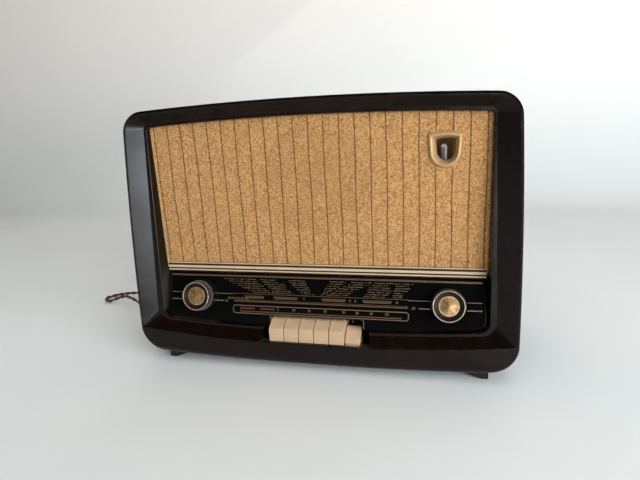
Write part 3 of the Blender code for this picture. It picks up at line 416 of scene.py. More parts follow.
def cloth_material():
    """Coarse two-tone weave, its yarns crossing in small cells; faintly darker over the speaker's hole; a
    painted highlight along its left edge.
    """
    sheen = {"Sheen_Weight": 0.15, "Sheen_Roughness": 0.5}
    n = Nodes("grille_weave", Roughness=0.92, Specular_IOR_Level=0.12, **sheen)
    x, y, z = n.axes()

    def per_cell(wide, high, shift):
        moved = n.vector("ADD", n.stretch(1 / wide, 0.0, 1 / high), (shift, shift, shift))
        return n.put("TexWhiteNoise", {"Vector": n.vector("FLOOR", moved)}).outputs["Value"]

    def wave(value):
        return n.math("SINE", n.math("MULTIPLY", value, math.pi / WEAVE))

    cross = n.math("MULTIPLY", wave(x), wave(z))
    small, wide = per_cell(WEAVE, WEAVE, 0.3), per_cell(WEAVE * 2.1, WEAVE * 1.3, 0.7)
    pale, tan, brown = (0.645, 0.370, 0.155), (0.285, 0.124, 0.034), (0.110, 0.036, 0.008)
    grain = n.math("ADD", n.math("MULTIPLY", small, 0.72), n.band(cross, -0.5, 0.5, 0.0, 0.28))
    colour = n.mix(n.band(grain, 0.15, 0.90), tan, pale)
    colour = n.mix(n.band(wide, 0.35, 0.0, 0, 0.42), colour, brown)
    colour = n.mix(n.band(small, 0.10, 0.0, 0, 0.55), colour, brown)
    slub = n.noise(7.0, 3, 0.6, n.stretch(1.8, 0, 0.5))
    colour = n.mix(n.band(slub, 0.35, 0.72, 0.0, 0.22), colour, tan)
    centre = (SPEAKER_X, 0.0, SPEAKER_Z - BASE_Z)
    away = n.length(n.vector("SUBTRACT", n.stretch(1, 0, 1), centre))
    away = n.math("ADD", away, n.band(n.noise(9, 3), 0.2, 0.8, -5.0, 5.0))
    stain = n.noise(34, 4, 0.6, twist=0.6)
    covered = n.band(away, SPEAKER_RADIUS + 1.0, SPEAKER_RADIUS - 5.0)
    inside = n.math("MULTIPLY", covered, n.band(stain, 0.3, 0.7, 0.05, 0.30))
    colour = n.mix(inside, colour, (0.27, 0.125, 0.045))
    ring = n.math("ABSOLUTE", n.math("SUBTRACT", away, SPEAKER_RADIUS - 3.0))
    worn = n.math("MULTIPLY", n.band(ring, 4.0, 0.5), n.band(stain, 0.42, 0.66, 0, 0.26))
    colour = n.mix(worn, colour, (0.17, 0.07, 0.02))
    dirt = n.noise(70, 3)
    colour = n.mix(n.band(dirt, 0.45, 0.75, 0, 0.12), colour, (0.33, 0.17, 0.065))
    # Painted highlight: a pale line along the cloth's left edge only, where light from the right catches it.
    left_edge_highlight = n.band(x, 1.4 - CLOTH_HALF, 0.4 - CLOTH_HALF, 0, 0.75)
    colour = n.mix(left_edge_highlight, colour, (0.72, 0.56, 0.40))
    height = n.math("ADD", n.math("MULTIPLY", cross, 0.5), small)
    return n.set(Base_Color=colour, Normal=n.bump(height, 0.20, 0.7)).material


def plastic(name, colour, rough, mottle=0.08, size=20, grain=0.01, **more):
    """Moulded plastic: uneven tone, faint handling marks, painted shade in its concave creases and a fine
    skin.
    """
    n = Nodes(name, **more)
    darker = tuple(c * (1 - 3 * mottle) for c in colour)
    tone = n.mix(n.band(n.noise(size, 4), 0.4, 0.75), colour, darker)
    edge = n.put("NewGeometry").outputs["Pointiness"]
    # Painted shade: concave creases are darkened.
    tone = n.mix(n.band(edge, 0.48, 0.40, 0, 0.45), tone, tuple(c * 0.35 for c in colour))
    haze = n.band(n.noise(size * 0.7, 5, 0.7), 0.35, 0.7, rough - 0.05, rough + 0.1)
    normal = n.bump(n.noise(0.5, 3), grain, 0.6)
    return n.set(Base_Color=tone, Roughness=haze, Normal=normal).material


def metal(name, colour, rough, tarnish=(0.10, 0.07, 0.04), amount=0.3, size=9, shine=1.0):
    """Metal with blotchy tarnish."""
    n = Nodes(name, Metallic=shine)
    blot = n.noise(size, 6, 0.65)
    tone = n.mix(n.band(blot, 0.48, 0.78, 0, amount), colour, tarnish)
    haze = n.band(n.noise(size * 0.4, 4, 0.7), 0.3, 0.75, rough - 0.06, rough + 0.14)
    return n.set(Base_Color=tone, Roughness=haze, Normal=n.bump(n.noise(0.6, 3), 0.008, 0.6)).material


def spun_gold():
    """A turned cone: fine rings, soft wedges of painted highlight and painted shade about Z, a dark tip and a
    paler rim.
    """
    n = Nodes("spun_gold", Metallic=0.75, Anisotropic=0.45)
    away = n.from_z()
    around = n.vector("NORMALIZE", n.stretch(1, 1, 0))
    # Painted highlight and shade: light and dark wedges about Z stand in for the spun metal's reflections.
    wedge = n.noise(0.55, 4, 0.75, around)
    tone = n.mix(n.band(wedge, 0.36, 0.62), (0.20, 0.095, 0.032), (0.50, 0.31, 0.148))
    tone = n.mix(n.band(n.noise(3.5, 6, 0.65), 0.48, 0.78, 0, 0.5), tone, (0.24, 0.10, 0.03))
    tone = n.mix(n.band(away, 1.3, 0.3, 0, 0.85), tone, (0.05, 0.025, 0.012))
    tone = n.mix(n.band(away, DISC_RADIUS - 1.5, DISC_RADIUS - 0.7, 0, 0.8), tone, (0.60, 0.40, 0.23))
    groove = n.noise(0.16, 1, 0.5, n.put("CombineXYZ", {0: away}).outputs[0])
    tangent = n.put("Tangent", direction_type="RADIAL", axis="Z").outputs[0]
    haze = n.band(wedge, 0.36, 0.62, 0.56, 0.44)
    normal = n.bump(groove, 0.05, 0.8)
    return n.set(Base_Color=tone, Roughness=haze, Normal=normal, Tangent=tangent).material


def glass_black():
    """Glass painted black behind: faint smears and specks of dust."""
    n = Nodes("black_dial_glass", Specular_IOR_Level=0.3)
    smear = n.noise(30, 5, 0.7, n.stretch(1, 1, 2.2))
    dust = n.cells(3.2)
    colour = n.mix(n.band(dust, 0.10, 0.04, 0, 0.10), (0.0026, 0.0024, 0.0022), (0.05, 0.045, 0.04))
    haze = n.band(smear, 0.4, 0.75, 0.06, 0.16)
    return n.set(Base_Color=colour, Roughness=haze, Normal=n.bump(n.noise(60, 1), 0.06, 0.3)).material


def printed(name, colour):
    """Dial print: thin, slightly patchy, satin."""
    n = Nodes(name, Metallic=0.25)
    worn = n.noise(2.2, 4, 0.7)
    tone = n.mix(n.band(worn, 0.5, 0.85, 0, 0.5), colour, tuple(c * 0.45 for c in colour))
    return n.set(Base_Color=tone, Roughness=n.band(worn, 0.3, 0.8, 0.30, 0.5)).material


def fibre(name, colour, second, size, stretch=(1, 1, 1), rough=0.85, depth=0.06):
    """Board, paper or wood: long fibres in two tones."""
    n = Nodes(name, Specular_IOR_Level=0.25)
    along = n.stretch(*stretch)
    strands = n.noise(size, 6, 0.7, along, 0.4)
    speck = n.noise(size * 0.22, 2, 0.6, along)
    tone = n.mix(n.band(strands, 0.35, 0.7), colour, second)
    tone = n.mix(n.band(speck, 0.6, 0.8, 0, 0.4), tone, tuple(c * 0.5 for c in second))
    haze = n.band(strands, 0.3, 0.7, rough - 0.06, rough + 0.08)
    return n.set(Base_Color=tone, Roughness=haze, Normal=n.bump(strands, depth, 0.7)).material


def clear_glass(name, thin=False):
    """Blown glass with faint smears; thin lets straight light through to what stands inside."""
    n = Nodes(name, IOR=1.47, Base_Color=(0.96, 0.98, 0.98), Transmission_Weight=0.96)
    if thin:
        n.set(Transmission_Weight=0.0, Alpha=0.10, Base_Color=(0.20, 0.15, 0.11))
    smear = n.band(n.noise(8, 4), 0.45, 0.8, 0.02, 0.14)
    return n.set(Roughness=smear, Normal=n.bump(n.noise(14, 2), 0.05, 0.3)).material


def phosphor():
    """Pale tube coating on a grey-lilac ground: a painted reflection as a bright stripe down its right flank,
    and a faint painted glow over it all, though the tube is not lit.
    """
    n = Nodes("phosphor_coating", Roughness=0.35)
    x, y, z = n.axes()
    # Painted reflection: a bright stripe down the right flank.
    stripe = n.band(x, 0.9, 2.0)
    top = n.band(z, 275.5, 278.5)
    tone = n.mix(stripe, (0.22, 0.18, 0.165), (0.95, 0.97, 0.95))
    tone = n.mix(top, tone, (0.95, 0.90, 0.84))
    tone = n.mix(n.band(n.noise(3, 4), 0.5, 0.8, 0, 0.4), tone, (0.12, 0.12, 0.13))
    # Painted glow: the coating emits faintly though the tube is not lit.
    return n.set(Base_Color=tone, Emission_Color=tone, Emission_Strength=0.13).material


BAKELITE = bakelite()
KNOB_BAKELITE = bakelite("knob_bakelite", (0.020, 0.011, 0.0085), (0.030, 0.015, 0.0105), 0.5, 0.18,
                         crest=KNOB_RADIUS)
CLOTH = cloth_material()
STITCH = fibre("stitch_yarn", (0.070, 0.024, 0.010), (0.125, 0.048, 0.018), 0.9, rough=0.9)
CREAM = plastic("aged_cream", (0.56, 0.415, 0.27), 0.36, 0.05, 24, Specular_IOR_Level=0.45)
KEY_CREAM = plastic("key_cream", (0.525, 0.358, 0.215), 0.33, 0.045, 16, Specular_IOR_Level=0.5)
TRIM_DARK = plastic("trim_brown", (0.030, 0.014, 0.006), 0.6, Specular_IOR_Level=0.2)
DIAL_BLACK = glass_black()
PRINT = printed("dial_print_gold", (0.155, 0.103, 0.058))
PRINT_ROSE = printed("dial_print_rose", (0.098, 0.053, 0.028))
PRINT_RED = printed("dial_print_red", (0.085, 0.020, 0.016))
GOLD = metal("shield_gold", (0.50, 0.31, 0.145), 0.50, (0.24, 0.125, 0.045), 0.5, 5, shine=0.3)
RIM_METAL = metal("knob_rim_metal", (0.47, 0.37, 0.26), 0.42, (0.30, 0.22, 0.15), 0.4, 4, shine=0.7)
SPUN_GOLD = spun_gold()
STEEL = metal("zinc_steel", (0.52, 0.52, 0.50), 0.38, (0.22, 0.20, 0.17), 0.4, 14)
ALUMINIUM = metal("aluminium", (0.66, 0.67, 0.68), 0.36, (0.34, 0.34, 0.34), 0.4, 12)
IRON = metal("varnished_iron", (0.12, 0.12, 0.125), 0.5, (0.06, 0.045, 0.03), 0.5, 8)
BLACK_STEEL = plastic("black_enamel", (0.015, 0.015, 0.016), 0.45)
LEVER = plastic("lever_enamel", (0.012, 0.012, 0.013), 0.5)
RUBBER = plastic("foot_rubber", (0.0085, 0.0080, 0.0075), 0.75, 0.1, 6, 0.03, Specular_IOR_Level=0.25)
CORD = plastic("cord_rubber", (0.085, 0.033, 0.020), 0.5, 0.12, 12, 0.03)
PAXOLIN = fibre("paxolin", (0.16, 0.065, 0.022), (0.22, 0.10, 0.038), 3, (0.3, 1, 1), 0.45, 0.02)
PLYWOOD = fibre("plywood", (0.42, 0.27, 0.14), (0.30, 0.175, 0.085), 6, (0.12, 1, 1))
HARDBOARD = fibre("hardboard", (0.135, 0.072, 0.036), (0.085, 0.044, 0.022), 2.2, (1, 1, 1), 0.8, 0.1)
PAPER = fibre("cone_paper", (0.085, 0.068, 0.055), (0.055, 0.045, 0.036), 2.5)
WINDING = fibre("winding_paper", (0.42, 0.27, 0.11), (0.30, 0.18, 0.065), 4, (1, 1, 3), 0.6)
FERRITE = fibre("ferrite", (0.045, 0.045, 0.05), (0.03, 0.03, 0.033), 3, (0.2, 1, 1), 0.55, 0.03)
RED = plastic("pointer_red", (0.50, 0.045, 0.02), 0.4)
HOOD = fibre("hood_card", (0.50, 0.27, 0.12), (0.38, 0.19, 0.08), 4, rough=0.7)
VALVE_GLASS = clear_glass("valve_glass")
EYE_GLASS = clear_glass("eye_glass", thin=True)
PHOSPHOR = phosphor()


# --- cabinet -------------------------------------------------------------------------------------


def rim_y(z):
    """The rim leans back towards its top."""
    return RIM_Y_AT_TOP - RIM_LEAN * (RIM_REF_Z - z)


def bow(x, half):
    """How far the base has risen towards a corner, 0-1; its middle is flat."""
    return (max(0.0, abs(x) - FLAT_HALF) / (half - FLAT_HALF)) ** 2


def outline(half_top, half_base, top, drop, base, rise, r_top, r_base, bulge=SIDE_BULGE):
    """The cabinet seen from the front, as (x, z, belongs to the base 0-1), clockwise from top left."""

    def half(z):
        share = (top - z) / (top - base)
        return half_top + (half_base - half_top) * share + bulge * (1 - (2 * share - 1) ** 2)

    def top_z(x):
        return top - drop * (x / half_top) ** 2

    def base_z(x):
        return base + rise * bow(x, half_base)

    found = []

    def corner(apex, first, second, from_flag, to_flag):
        for i in range(CORNER_STEPS + 1):
            angle = math.pi / 2 * i / CORNER_STEPS
            a, b = 1 - math.sin(angle), 1 - math.cos(angle)
            x = apex[0] + (first[0] - apex[0]) * a + (second[0] - apex[0]) * b
            z = apex[1] + (first[1] - apex[1]) * a + (second[1] - apex[1]) * b
            found.append((x, z, from_flag + (to_flag - from_flag) * i / CORNER_STEPS))

    z_top, z_base = top - drop, base + rise
    side_high, side_low = z_top - r_top, z_base + r_base
    x_high, x_low = half_top - r_top, half_base - r_base
    corner((-half_top, z_top), (-half(side_high), side_high), (-x_high, top_z(x_high)), 0, 0)
    for i in range(1, TOP_STEPS):
        x = (-1 + 2 * i / TOP_STEPS) * x_high
        found.append((x, top_z(x), 0))
    corner((half_top, z_top), (x_high, top_z(x_high)), (half(side_high), side_high), 0, 0)
    for i in range(1, SIDE_STEPS):
        z = side_high + (side_low - side_high) * i / SIDE_STEPS
        found.append((half(z), z, 0))
    corner((half_base, z_base), (half(side_low), side_low), (x_low, base_z(x_low)), 0, 1)
    for i in range(1, BASE_STEPS):
        x = (1 - 2 * i / BASE_STEPS) * x_low
        found.append((x, base_z(x), 1))
    corner((-half_base, z_base), (-x_low, base_z(x_low)), (-half(side_low), side_low), 1, 0)
    for i in range(1, SIDE_STEPS):
        z = side_low + (side_high - side_low) * i / SIDE_STEPS
        found.append((-half(z), z, 0))
    return found


def on_rim(shape, side_back, base_back):
    """An outline as a ring set back from the leaning rim."""
    return [Vector((x, rim_y(z) + side_back + (base_back - side_back) * flag, z)) for x, z, flag in shape]


def at_y(shape, y):
    """An outline as an upright ring."""
    return [Vector((x, y, z)) for x, z, flag in shape]


def between(loops, steps):
    """Extra rings on a smooth curve through the given rings."""
    found = []
    for i in range(len(loops) - 1):
        rows = [loops[max(i - 1, 0)], loops[i], loops[i + 1], loops[min(i + 2, len(loops) - 1)]]
        for step in range(steps):
            t = step / steps
            ring = []
            for a, b, c, d in zip(*rows):
                lead = (c - b).length or 1.0
                m0 = (c - a) * (lead / max((c - a).length, 1e-6)) * 0.9
                m1 = (d - b) * (lead / max((d - b).length, 1e-6)) * 0.9
                t2, t3 = t * t, t**3
                leave, arrive = m0 * (t3 - 2 * t2 + t), m1 * (t3 - t2)
                ring.append(b * (2 * t3 - 3 * t2 + 1) + c * (3 * t2 - 2 * t3) + leave + arrive)
            found.append(ring)
    found.append(loops[-1])
    return found


def softened(before, here, after, reach, steps=3):
    """Rings that round a crease: here is the crease, with its neighbours on either side."""
    found = []
    for step in range(steps + 1):
        t = step / steps
        ring = []
        for a, b, c in zip(before, here, after):
            p = b + (a - b).normalized() * min(reach, (a - b).length * 0.45)
            q = b + (c - b).normalized() * min(reach, (c - b).length * 0.45)
            ring.append(p * (1 - t) ** 2 + b * 2 * t * (1 - t) + q * t * t)
        found.append(ring)
    return found


def cabinet():
    """One moulded wall, from the rear edge over the rim, down the inner band and back inside."""
    ht, hb, top, base, rise = HALF_TOP, HALF_BOTTOM, TOP_Z, BASE_Z, BASE_RISE
    drop, band, cloth, shelf = TOP_DROP, BAND_DEPTH, CLOTH_TOP, SHELF_Z

    def rear(inset, y, wall, r_top, r_base):
        sizes = (ht - inset[0] - wall, hb - inset[1] - wall, top - inset[2] - wall)
        return at_y(outline(*sizes, drop, base + wall, rise, r_top, r_base), y)

    def inner(*sizes):
        return outline(*sizes, 0)

    def flared(inset, base_up, r_top, r_base):
        grow = RIM_FLARE - inset
        return outline(ht + grow, hb + grow, top - inset, drop, base + base_up, rise, r_top, r_base)

    outside = [
        rear((4.5, 6.0, 4.0), REAR_Y, 0, 24, 30),
        rear((2.2, 3.0, 1.9), 118.0, 0, 23.5, 30.5),
        rear((1.2, 1.6, 1.0), MIDDLE_Y + 5, 0, 23, 31),
        on_rim(flared(0, 0, 23, 33), 7, 11),
        on_rim(flared(0.9, 3, 22.5, 31), 2, 3.2),
        on_rim(flared(3, 9, 21, 27), 0, 0),
    ]
    within = RIM_FLARE - 4.4
    edge = outline(ht + within, hb + within, top - 4.4, drop, CREST_Z, CREST_RISE, 18.5, 0.8)
    rim = on_rim(edge, 0.2, 0)
    slope = on_rim(inner(213.7, 222.8, cloth + 5.5, 6.6, 49.6, 9.0, 6.0, 18.0), band, band)
    step = on_rim(inner(211.6, 213.6, cloth + 0.8, CLOTH_DROP, shelf - 1, SHELF_RISE, 4.8, 12.0), band, band)
    flange = at_y(inner(CLOTH_HALF, CLOTH_HALF + 1, cloth, CLOTH_DROP, shelf, SHELF_RISE, 4.5, 9.0), FLANGE_Y)
    inside = [
        at_y(inner(216.5, 218.0, cloth + 5.6, 6.5, shelf - 6, SHELF_RISE, 7, 8), FLANGE_Y),
        on_rim(inner(219.5, 233.0, cloth + 9.5, 6.5, 41.0, 9.5, 8, 9), band + 4, band + 5),
        on_rim(outline(ht - 6.5, hb - 6.5, top - 6.5, drop, 33.8, CREST_RISE - 1, 17, 4), 7.2, 4.4),
        on_rim(outline(ht - WALL, hb - WALL, top - WALL, drop, base + 6.5, rise, 18, 26), 12, 10),
        rear((1.2, 1.6, 1.0), MIDDLE_Y + 5, WALL, 19, 27),
        rear((4.5, 6.0, 4.0), REAR_Y, WALL, 20, 26),
    ]
    loops = between(outside, 4)
    loops += softened(outside[-1], rim, slope, 1.3)
    loops += softened(rim, slope, step, 1.2)
    loops += softened(slope, step, flange, 0.9)
    loops += [flange] + inside
    mesh = bmesh.new()
    loft(mesh, loops, around=True)
    shell = piece("cabinet_moulding", mesh, BAKELITE, ["cabinet_shell"], smooth=38)

    wide, narrow = NOTCH_FRONT, NOTCH_REAR
    notch = bmesh.new()
    prism(notch, [(-narrow, 12), (narrow, 12), (wide, -42), (-wide, -42)], NOTCH_FLOOR, 75, axis="Z")
    cut(shell, notch, "notch")
    pocket = bmesh.new()
    half = 3 * KEY_PITCH + 1.0
    add_box(pocket, (-half, -33.0, 20), (half, 12, 70))
    cut(shell, pocket, "pocket")
    round_edges(shell, 0.5, 2, 48)
    add_flat_faces(shell)


# --- cloth, eye and trim bar ---------------------------------------------------------------------


def shield(grow=0.0, steps=12):
    """The eye surround's outline about its middle: arched top, U-shaped bottom."""
    w, h = EYE_HALF_WIDTH + grow, EYE_HALF_HEIGHT + grow
    points = []
    for i in range(steps + 1):
        x = w * (1 - 2 * i / steps)
        points.append((x, h - 1.8 * (x / w) ** 2))
    for i in range(1, 2 * steps):
        angle = math.pi + math.pi * i / (2 * steps)
        points.append((w * 0.93 * math.cos(angle), -h * 0.1 + h * 0.9 * math.sin(angle)))
    return points


def in_eye(x, z, grow=-2.2):
    """True inside the hole for the magic eye."""
    w, h = EYE_HALF_WIDTH + grow, EYE_HALF_HEIGHT + grow
    u, v = (x - EYE_X) / w, (z - EYE_Z) / h
    return abs(u) < 1 and v < 1 and (v > -0.1 or u * u / 0.86 + ((v + 0.1) / 0.9) ** 2 < 1)


def cloth():
    """A woven sheet: crossings stand up and down by turns, and it rolls forward along its side edges."""
    mesh = bmesh.new()
    columns = round(2 * (CLOTH_HALF + 3) / WEAVE)
    rows = round((CLOTH_TOP + 3 - CLOTH_BOTTOM) / WEAVE)
    points = {}

    def corner(i, j):
        if (i, j) not in points:
            x = (i - columns / 2) * WEAVE
            z = CLOTH_BOTTOM + j * WEAVE
            lift = 0.20 if (i + j) % 2 else -0.02
            shake = random.uniform(-0.05, 0.05)
            inside = CLOTH_HALF + 0.6 * (CLOTH_TOP - z) / CLOTH_TOP - abs(x)
            roll = 1.5 * math.exp(-((inside - 1.2) ** 2) / 1.6)
            points[i, j] = mesh.verts.new((x, CLOTH_Y - lift - shake - roll, z))
        return points[i, j]

    for i in range(columns):
        for j in range(rows):
            x, z = (i + 0.5 - columns / 2) * WEAVE, CLOTH_BOTTOM + (j + 0.5) * WEAVE
            if not in_eye(x, z):
                mesh.faces.new((corner(i, j), corner(i + 1, j), corner(i + 1, j + 1), corner(i, j + 1)))
    obj = piece("grille_weave", mesh, CLOTH, ["grille_cloth"], smooth=180)
    thick = obj.modifiers.new("thickness", "SOLIDIFY")
    thick.thickness = 0.35 * MM
    thick.offset = 1.0 if obj.data.polygons[0].normal.y > 0 else -1.0

    stitches = bmesh.new()
    for line in range(STITCH_LINES):
        x0 = (line - (STITCH_LINES - 1) / 2) * STITCH_PITCH
        z = STITCH_BOTTOM
        while z < CLOTH_TOP - CLOTH_DROP * (x0 / CLOTH_HALF) ** 2 + 1:
            x = x0 + 0.35 * math.sin(z / 23 + line) + random.uniform(-0.12, 0.12)
            long, wide = random.uniform(1.0, 1.25), random.uniform(0.85, 1.1)
            if not in_eye(x, z, 1.5) and abs(x) < CLOTH_HALF - 1.2:
                bead(stitches, (x, CLOTH_Y - 0.20, z), wide, 0.32, long)
            z += STITCH_STEP
    piece("grille_stitches", stitches, STITCH, smooth=180)


def bead(mesh, at, rx, ry, rz):
    """A small float of yarn: a six-sided pillow."""
    tip_up = mesh.verts.new((at[0], at[1], at[2] + rz))
    tip_low = mesh.verts.new((at[0], at[1], at[2] - rz))
    rings = []
    for share in (0.6, -0.6):
        ring = []
        for k in range(6):
            angle = math.pi / 3 * k
            x, y = at[0] + 0.8 * rx * math.cos(angle), at[1] + ry * math.sin(angle)
            ring.append(mesh.verts.new((x, y, at[2] + rz * share)))
        rings.append(ring)
    for k in range(6):
        j = (k + 1) % 6
        mesh.faces.new((tip_up, rings[0][k], rings[0][j]))
        mesh.faces.new((rings[0][k], rings[1][k], rings[1][j], rings[0][j]))
        mesh.faces.new((rings[1][k], tip_low, rings[1][j]))


def eye():
    """A shield with a funnel, and behind it a card hood round the tube's glass and its coated screen."""

    def level(grow, y):
        """The mouth sits a little to the right of the frame's middle, more so as it gets deeper."""
        aside = EYE_MOUTH_ASIDE * min(1.0, max(0.0, (y + 4.9) / 8.0)) if grow < -3.0 else 0.0
        return [(x + aside, y, z) for x, z in shield(grow)]

    section = [(-3.4, -1.0), (0.0, -1.0), (0.1, -1.5), (-0.2, -2.4), (-0.9, -3.6), (-1.9, -4.6)]
    section += [(-2.7, -5.0), (-3.2, -4.9), (-3.9, -4.3), (-5.0, -2.6), (-6.0, 0.4), (-7.0, 4.0)]
    section += [(-7.7, 7.2), (-8.0, 8.6), (-7.0, 8.6), (-4.4, 0.2)]
    mesh = bmesh.new()
    loft(mesh, [level(grow, y) for grow, y in section], around=True)
    at = Matrix.Translation(row(EYE_X, 0, EYE_Z))
    piece("eye_surround", mesh, GOLD, ["eye_bezel"], at=at, smooth=50)

    hood = bmesh.new()
    ring = arc((0, 0), 12.4, -8, 188, 28) + list(reversed(arc((0, 0), 11.5, -8, 188, 28)))
    prism(hood, ring, 252, 297, axis="Z")
    at = Matrix.Translation(row(EYE_X, EYE_TUBE_Y, 0))
    piece("eye_hood", hood, HOOD, at=at, smooth=50)

    bends = (0.25, 0.5, 0.8, 1.1, 1.35)
    outer, inner, shoulder = EYE_TUBE_RADIUS, EYE_TUBE_RADIUS - EYE_GLASS_WALL, EYE_SHOULDER_Z
    profile = [(inner, 238), (outer, 238), (outer, shoulder)]
    profile += [(outer * math.cos(a), shoulder + 8 * math.sin(a)) for a in bends]
    profile += [(0, 286.2), (0, 285.2)]
    profile += [(inner * math.cos(a), shoulder + 7.1 * math.sin(a)) for a in (*reversed(bends), 0.0)]
    tube = bmesh.new()
    lathe(tube, profile, 40, around=True)
    piece("eye_glass", tube, EYE_GLASS, ["eye_tube"], at=at, smooth=60)
    screen = bmesh.new()
    shape = [(0, 238.4), (3.3, 238.4), (3.3, 276.6), (3.1, 278.2), (2.6, 279.4), (1.6, 280.1), (0, 280.4)]
    lathe(screen, shape, 32)
    at = Matrix.Translation(row(EYE_X - 0.9, EYE_TUBE_Y, 0))
    piece("eye_coating", screen, PHOSPHOR, ["eye_screen"], at=at, smooth=60)


def trim_bar():
    """Cream ribs on a brown bar: a broad rib between two narrow ones."""
    ribs = ((124.4, 0.95, -3.3), (129.0, 1.7, -3.7), (134.2, 0.75, -3.2))
    root = -2.2
    bar = bmesh.new()
    shape = [(FLANGE_Y - 0.3, 121.6), (-2.3, 121.6), (-2.3, 135.0), (FLANGE_Y - 0.3, 135.0)]
    prism(bar, shape, -GLASS_HALF, GLASS_HALF, axis="X")
    piece("trim_bar_base", bar, TRIM_DARK, ["trim_bar"], smooth=30, bevel=0.3)
    mesh = bmesh.new()
    for middle, half, out in ribs:
        crown = [(root, middle - half), (root, middle + half)]
        for i in range(1, 8):
            angle = math.pi * i / 8
            swell = 0.35 + 0.65 * math.sin(angle) ** 0.6
            crown.append((root + (out - root) * swell, middle + half * math.cos(angle)))
        prism(mesh, crown, 0.2 - GLASS_HALF, GLASS_HALF - 0.2, axis="X")
    piece("trim_ribs", mesh, CREAM, smooth=50, bevel=0.15, segments=2)


# --- dial ----------------------------------------------------------------------------------------


# The glass's own frame: X along its top edge, Z up the slope, and Y into the set.
DIAL_FRAME = Matrix.Translation(row(0, DIAL_TOP_Y, DIAL_TOP_Z)) @ Matrix.Rotation(-DIAL_LEAN, 4, "X")
JOINT = {joint["name"]: joint for joint in frame["joints"]}


def dial_up(z):
    """A height on the front, as a distance up the leaning glass."""
    return (z - DIAL_TOP_Z) / math.cos(DIAL_LEAN)


def knob_frame(side):
    """Origin where the shaft passes the glass's front, +Z out of the front."""
    at = Vector(JOINT[side + "_turn"]["pos_m"])
    return Matrix.Translation(at) @ Matrix.Rotation(math.pi / 2 - DIAL_LEAN, 4, "X")


def glass():
    """The dial's pane, cut out above the keys and bored for both shafts."""
    steps, corner = 16, GLASS_CORNER
    straight = GLASS_HALF - corner

    def edge(x):
        turned = corner - math.sqrt(corner**2 - max(0.0, x - straight) ** 2)
        return dial_up(SHELF_Z + 0.9 + SHELF_RISE * bow(x, CLOTH_HALF)) + turned

    right = [GLASS_NOTCH_HALF + (straight - GLASS_NOTCH_HALF) * i / steps for i in range(steps)]
    right += [straight + corner * math.sin(math.pi / 2 * i / 8) for i in range(9)]
    points = [(-GLASS_HALF, 0), (GLASS_HALF, 0)]
    points += [(x, edge(x)) for x in reversed(right)]
    notch_up = dial_up(GLASS_NOTCH_Z)
    points += [(GLASS_NOTCH_HALF, notch_up), (-GLASS_NOTCH_HALF, notch_up)]
    points += [(-x, edge(x)) for x in right]
    mesh = bmesh.new()
    prism(mesh, points, 0, GLASS_THICK)
    slab = piece("dial_glass_pane", mesh, DIAL_BLACK, ["dial_glass"],
                 at=DIAL_FRAME, smooth=30, bevel=0.4)
    for side in ("volume", "tuning"):
        hole = bmesh.new()
        lathe(hole, [(4.5, -20), (4.5, 12)], 32)
        cut(slab, hole, side + "_hole", knob_frame(side))


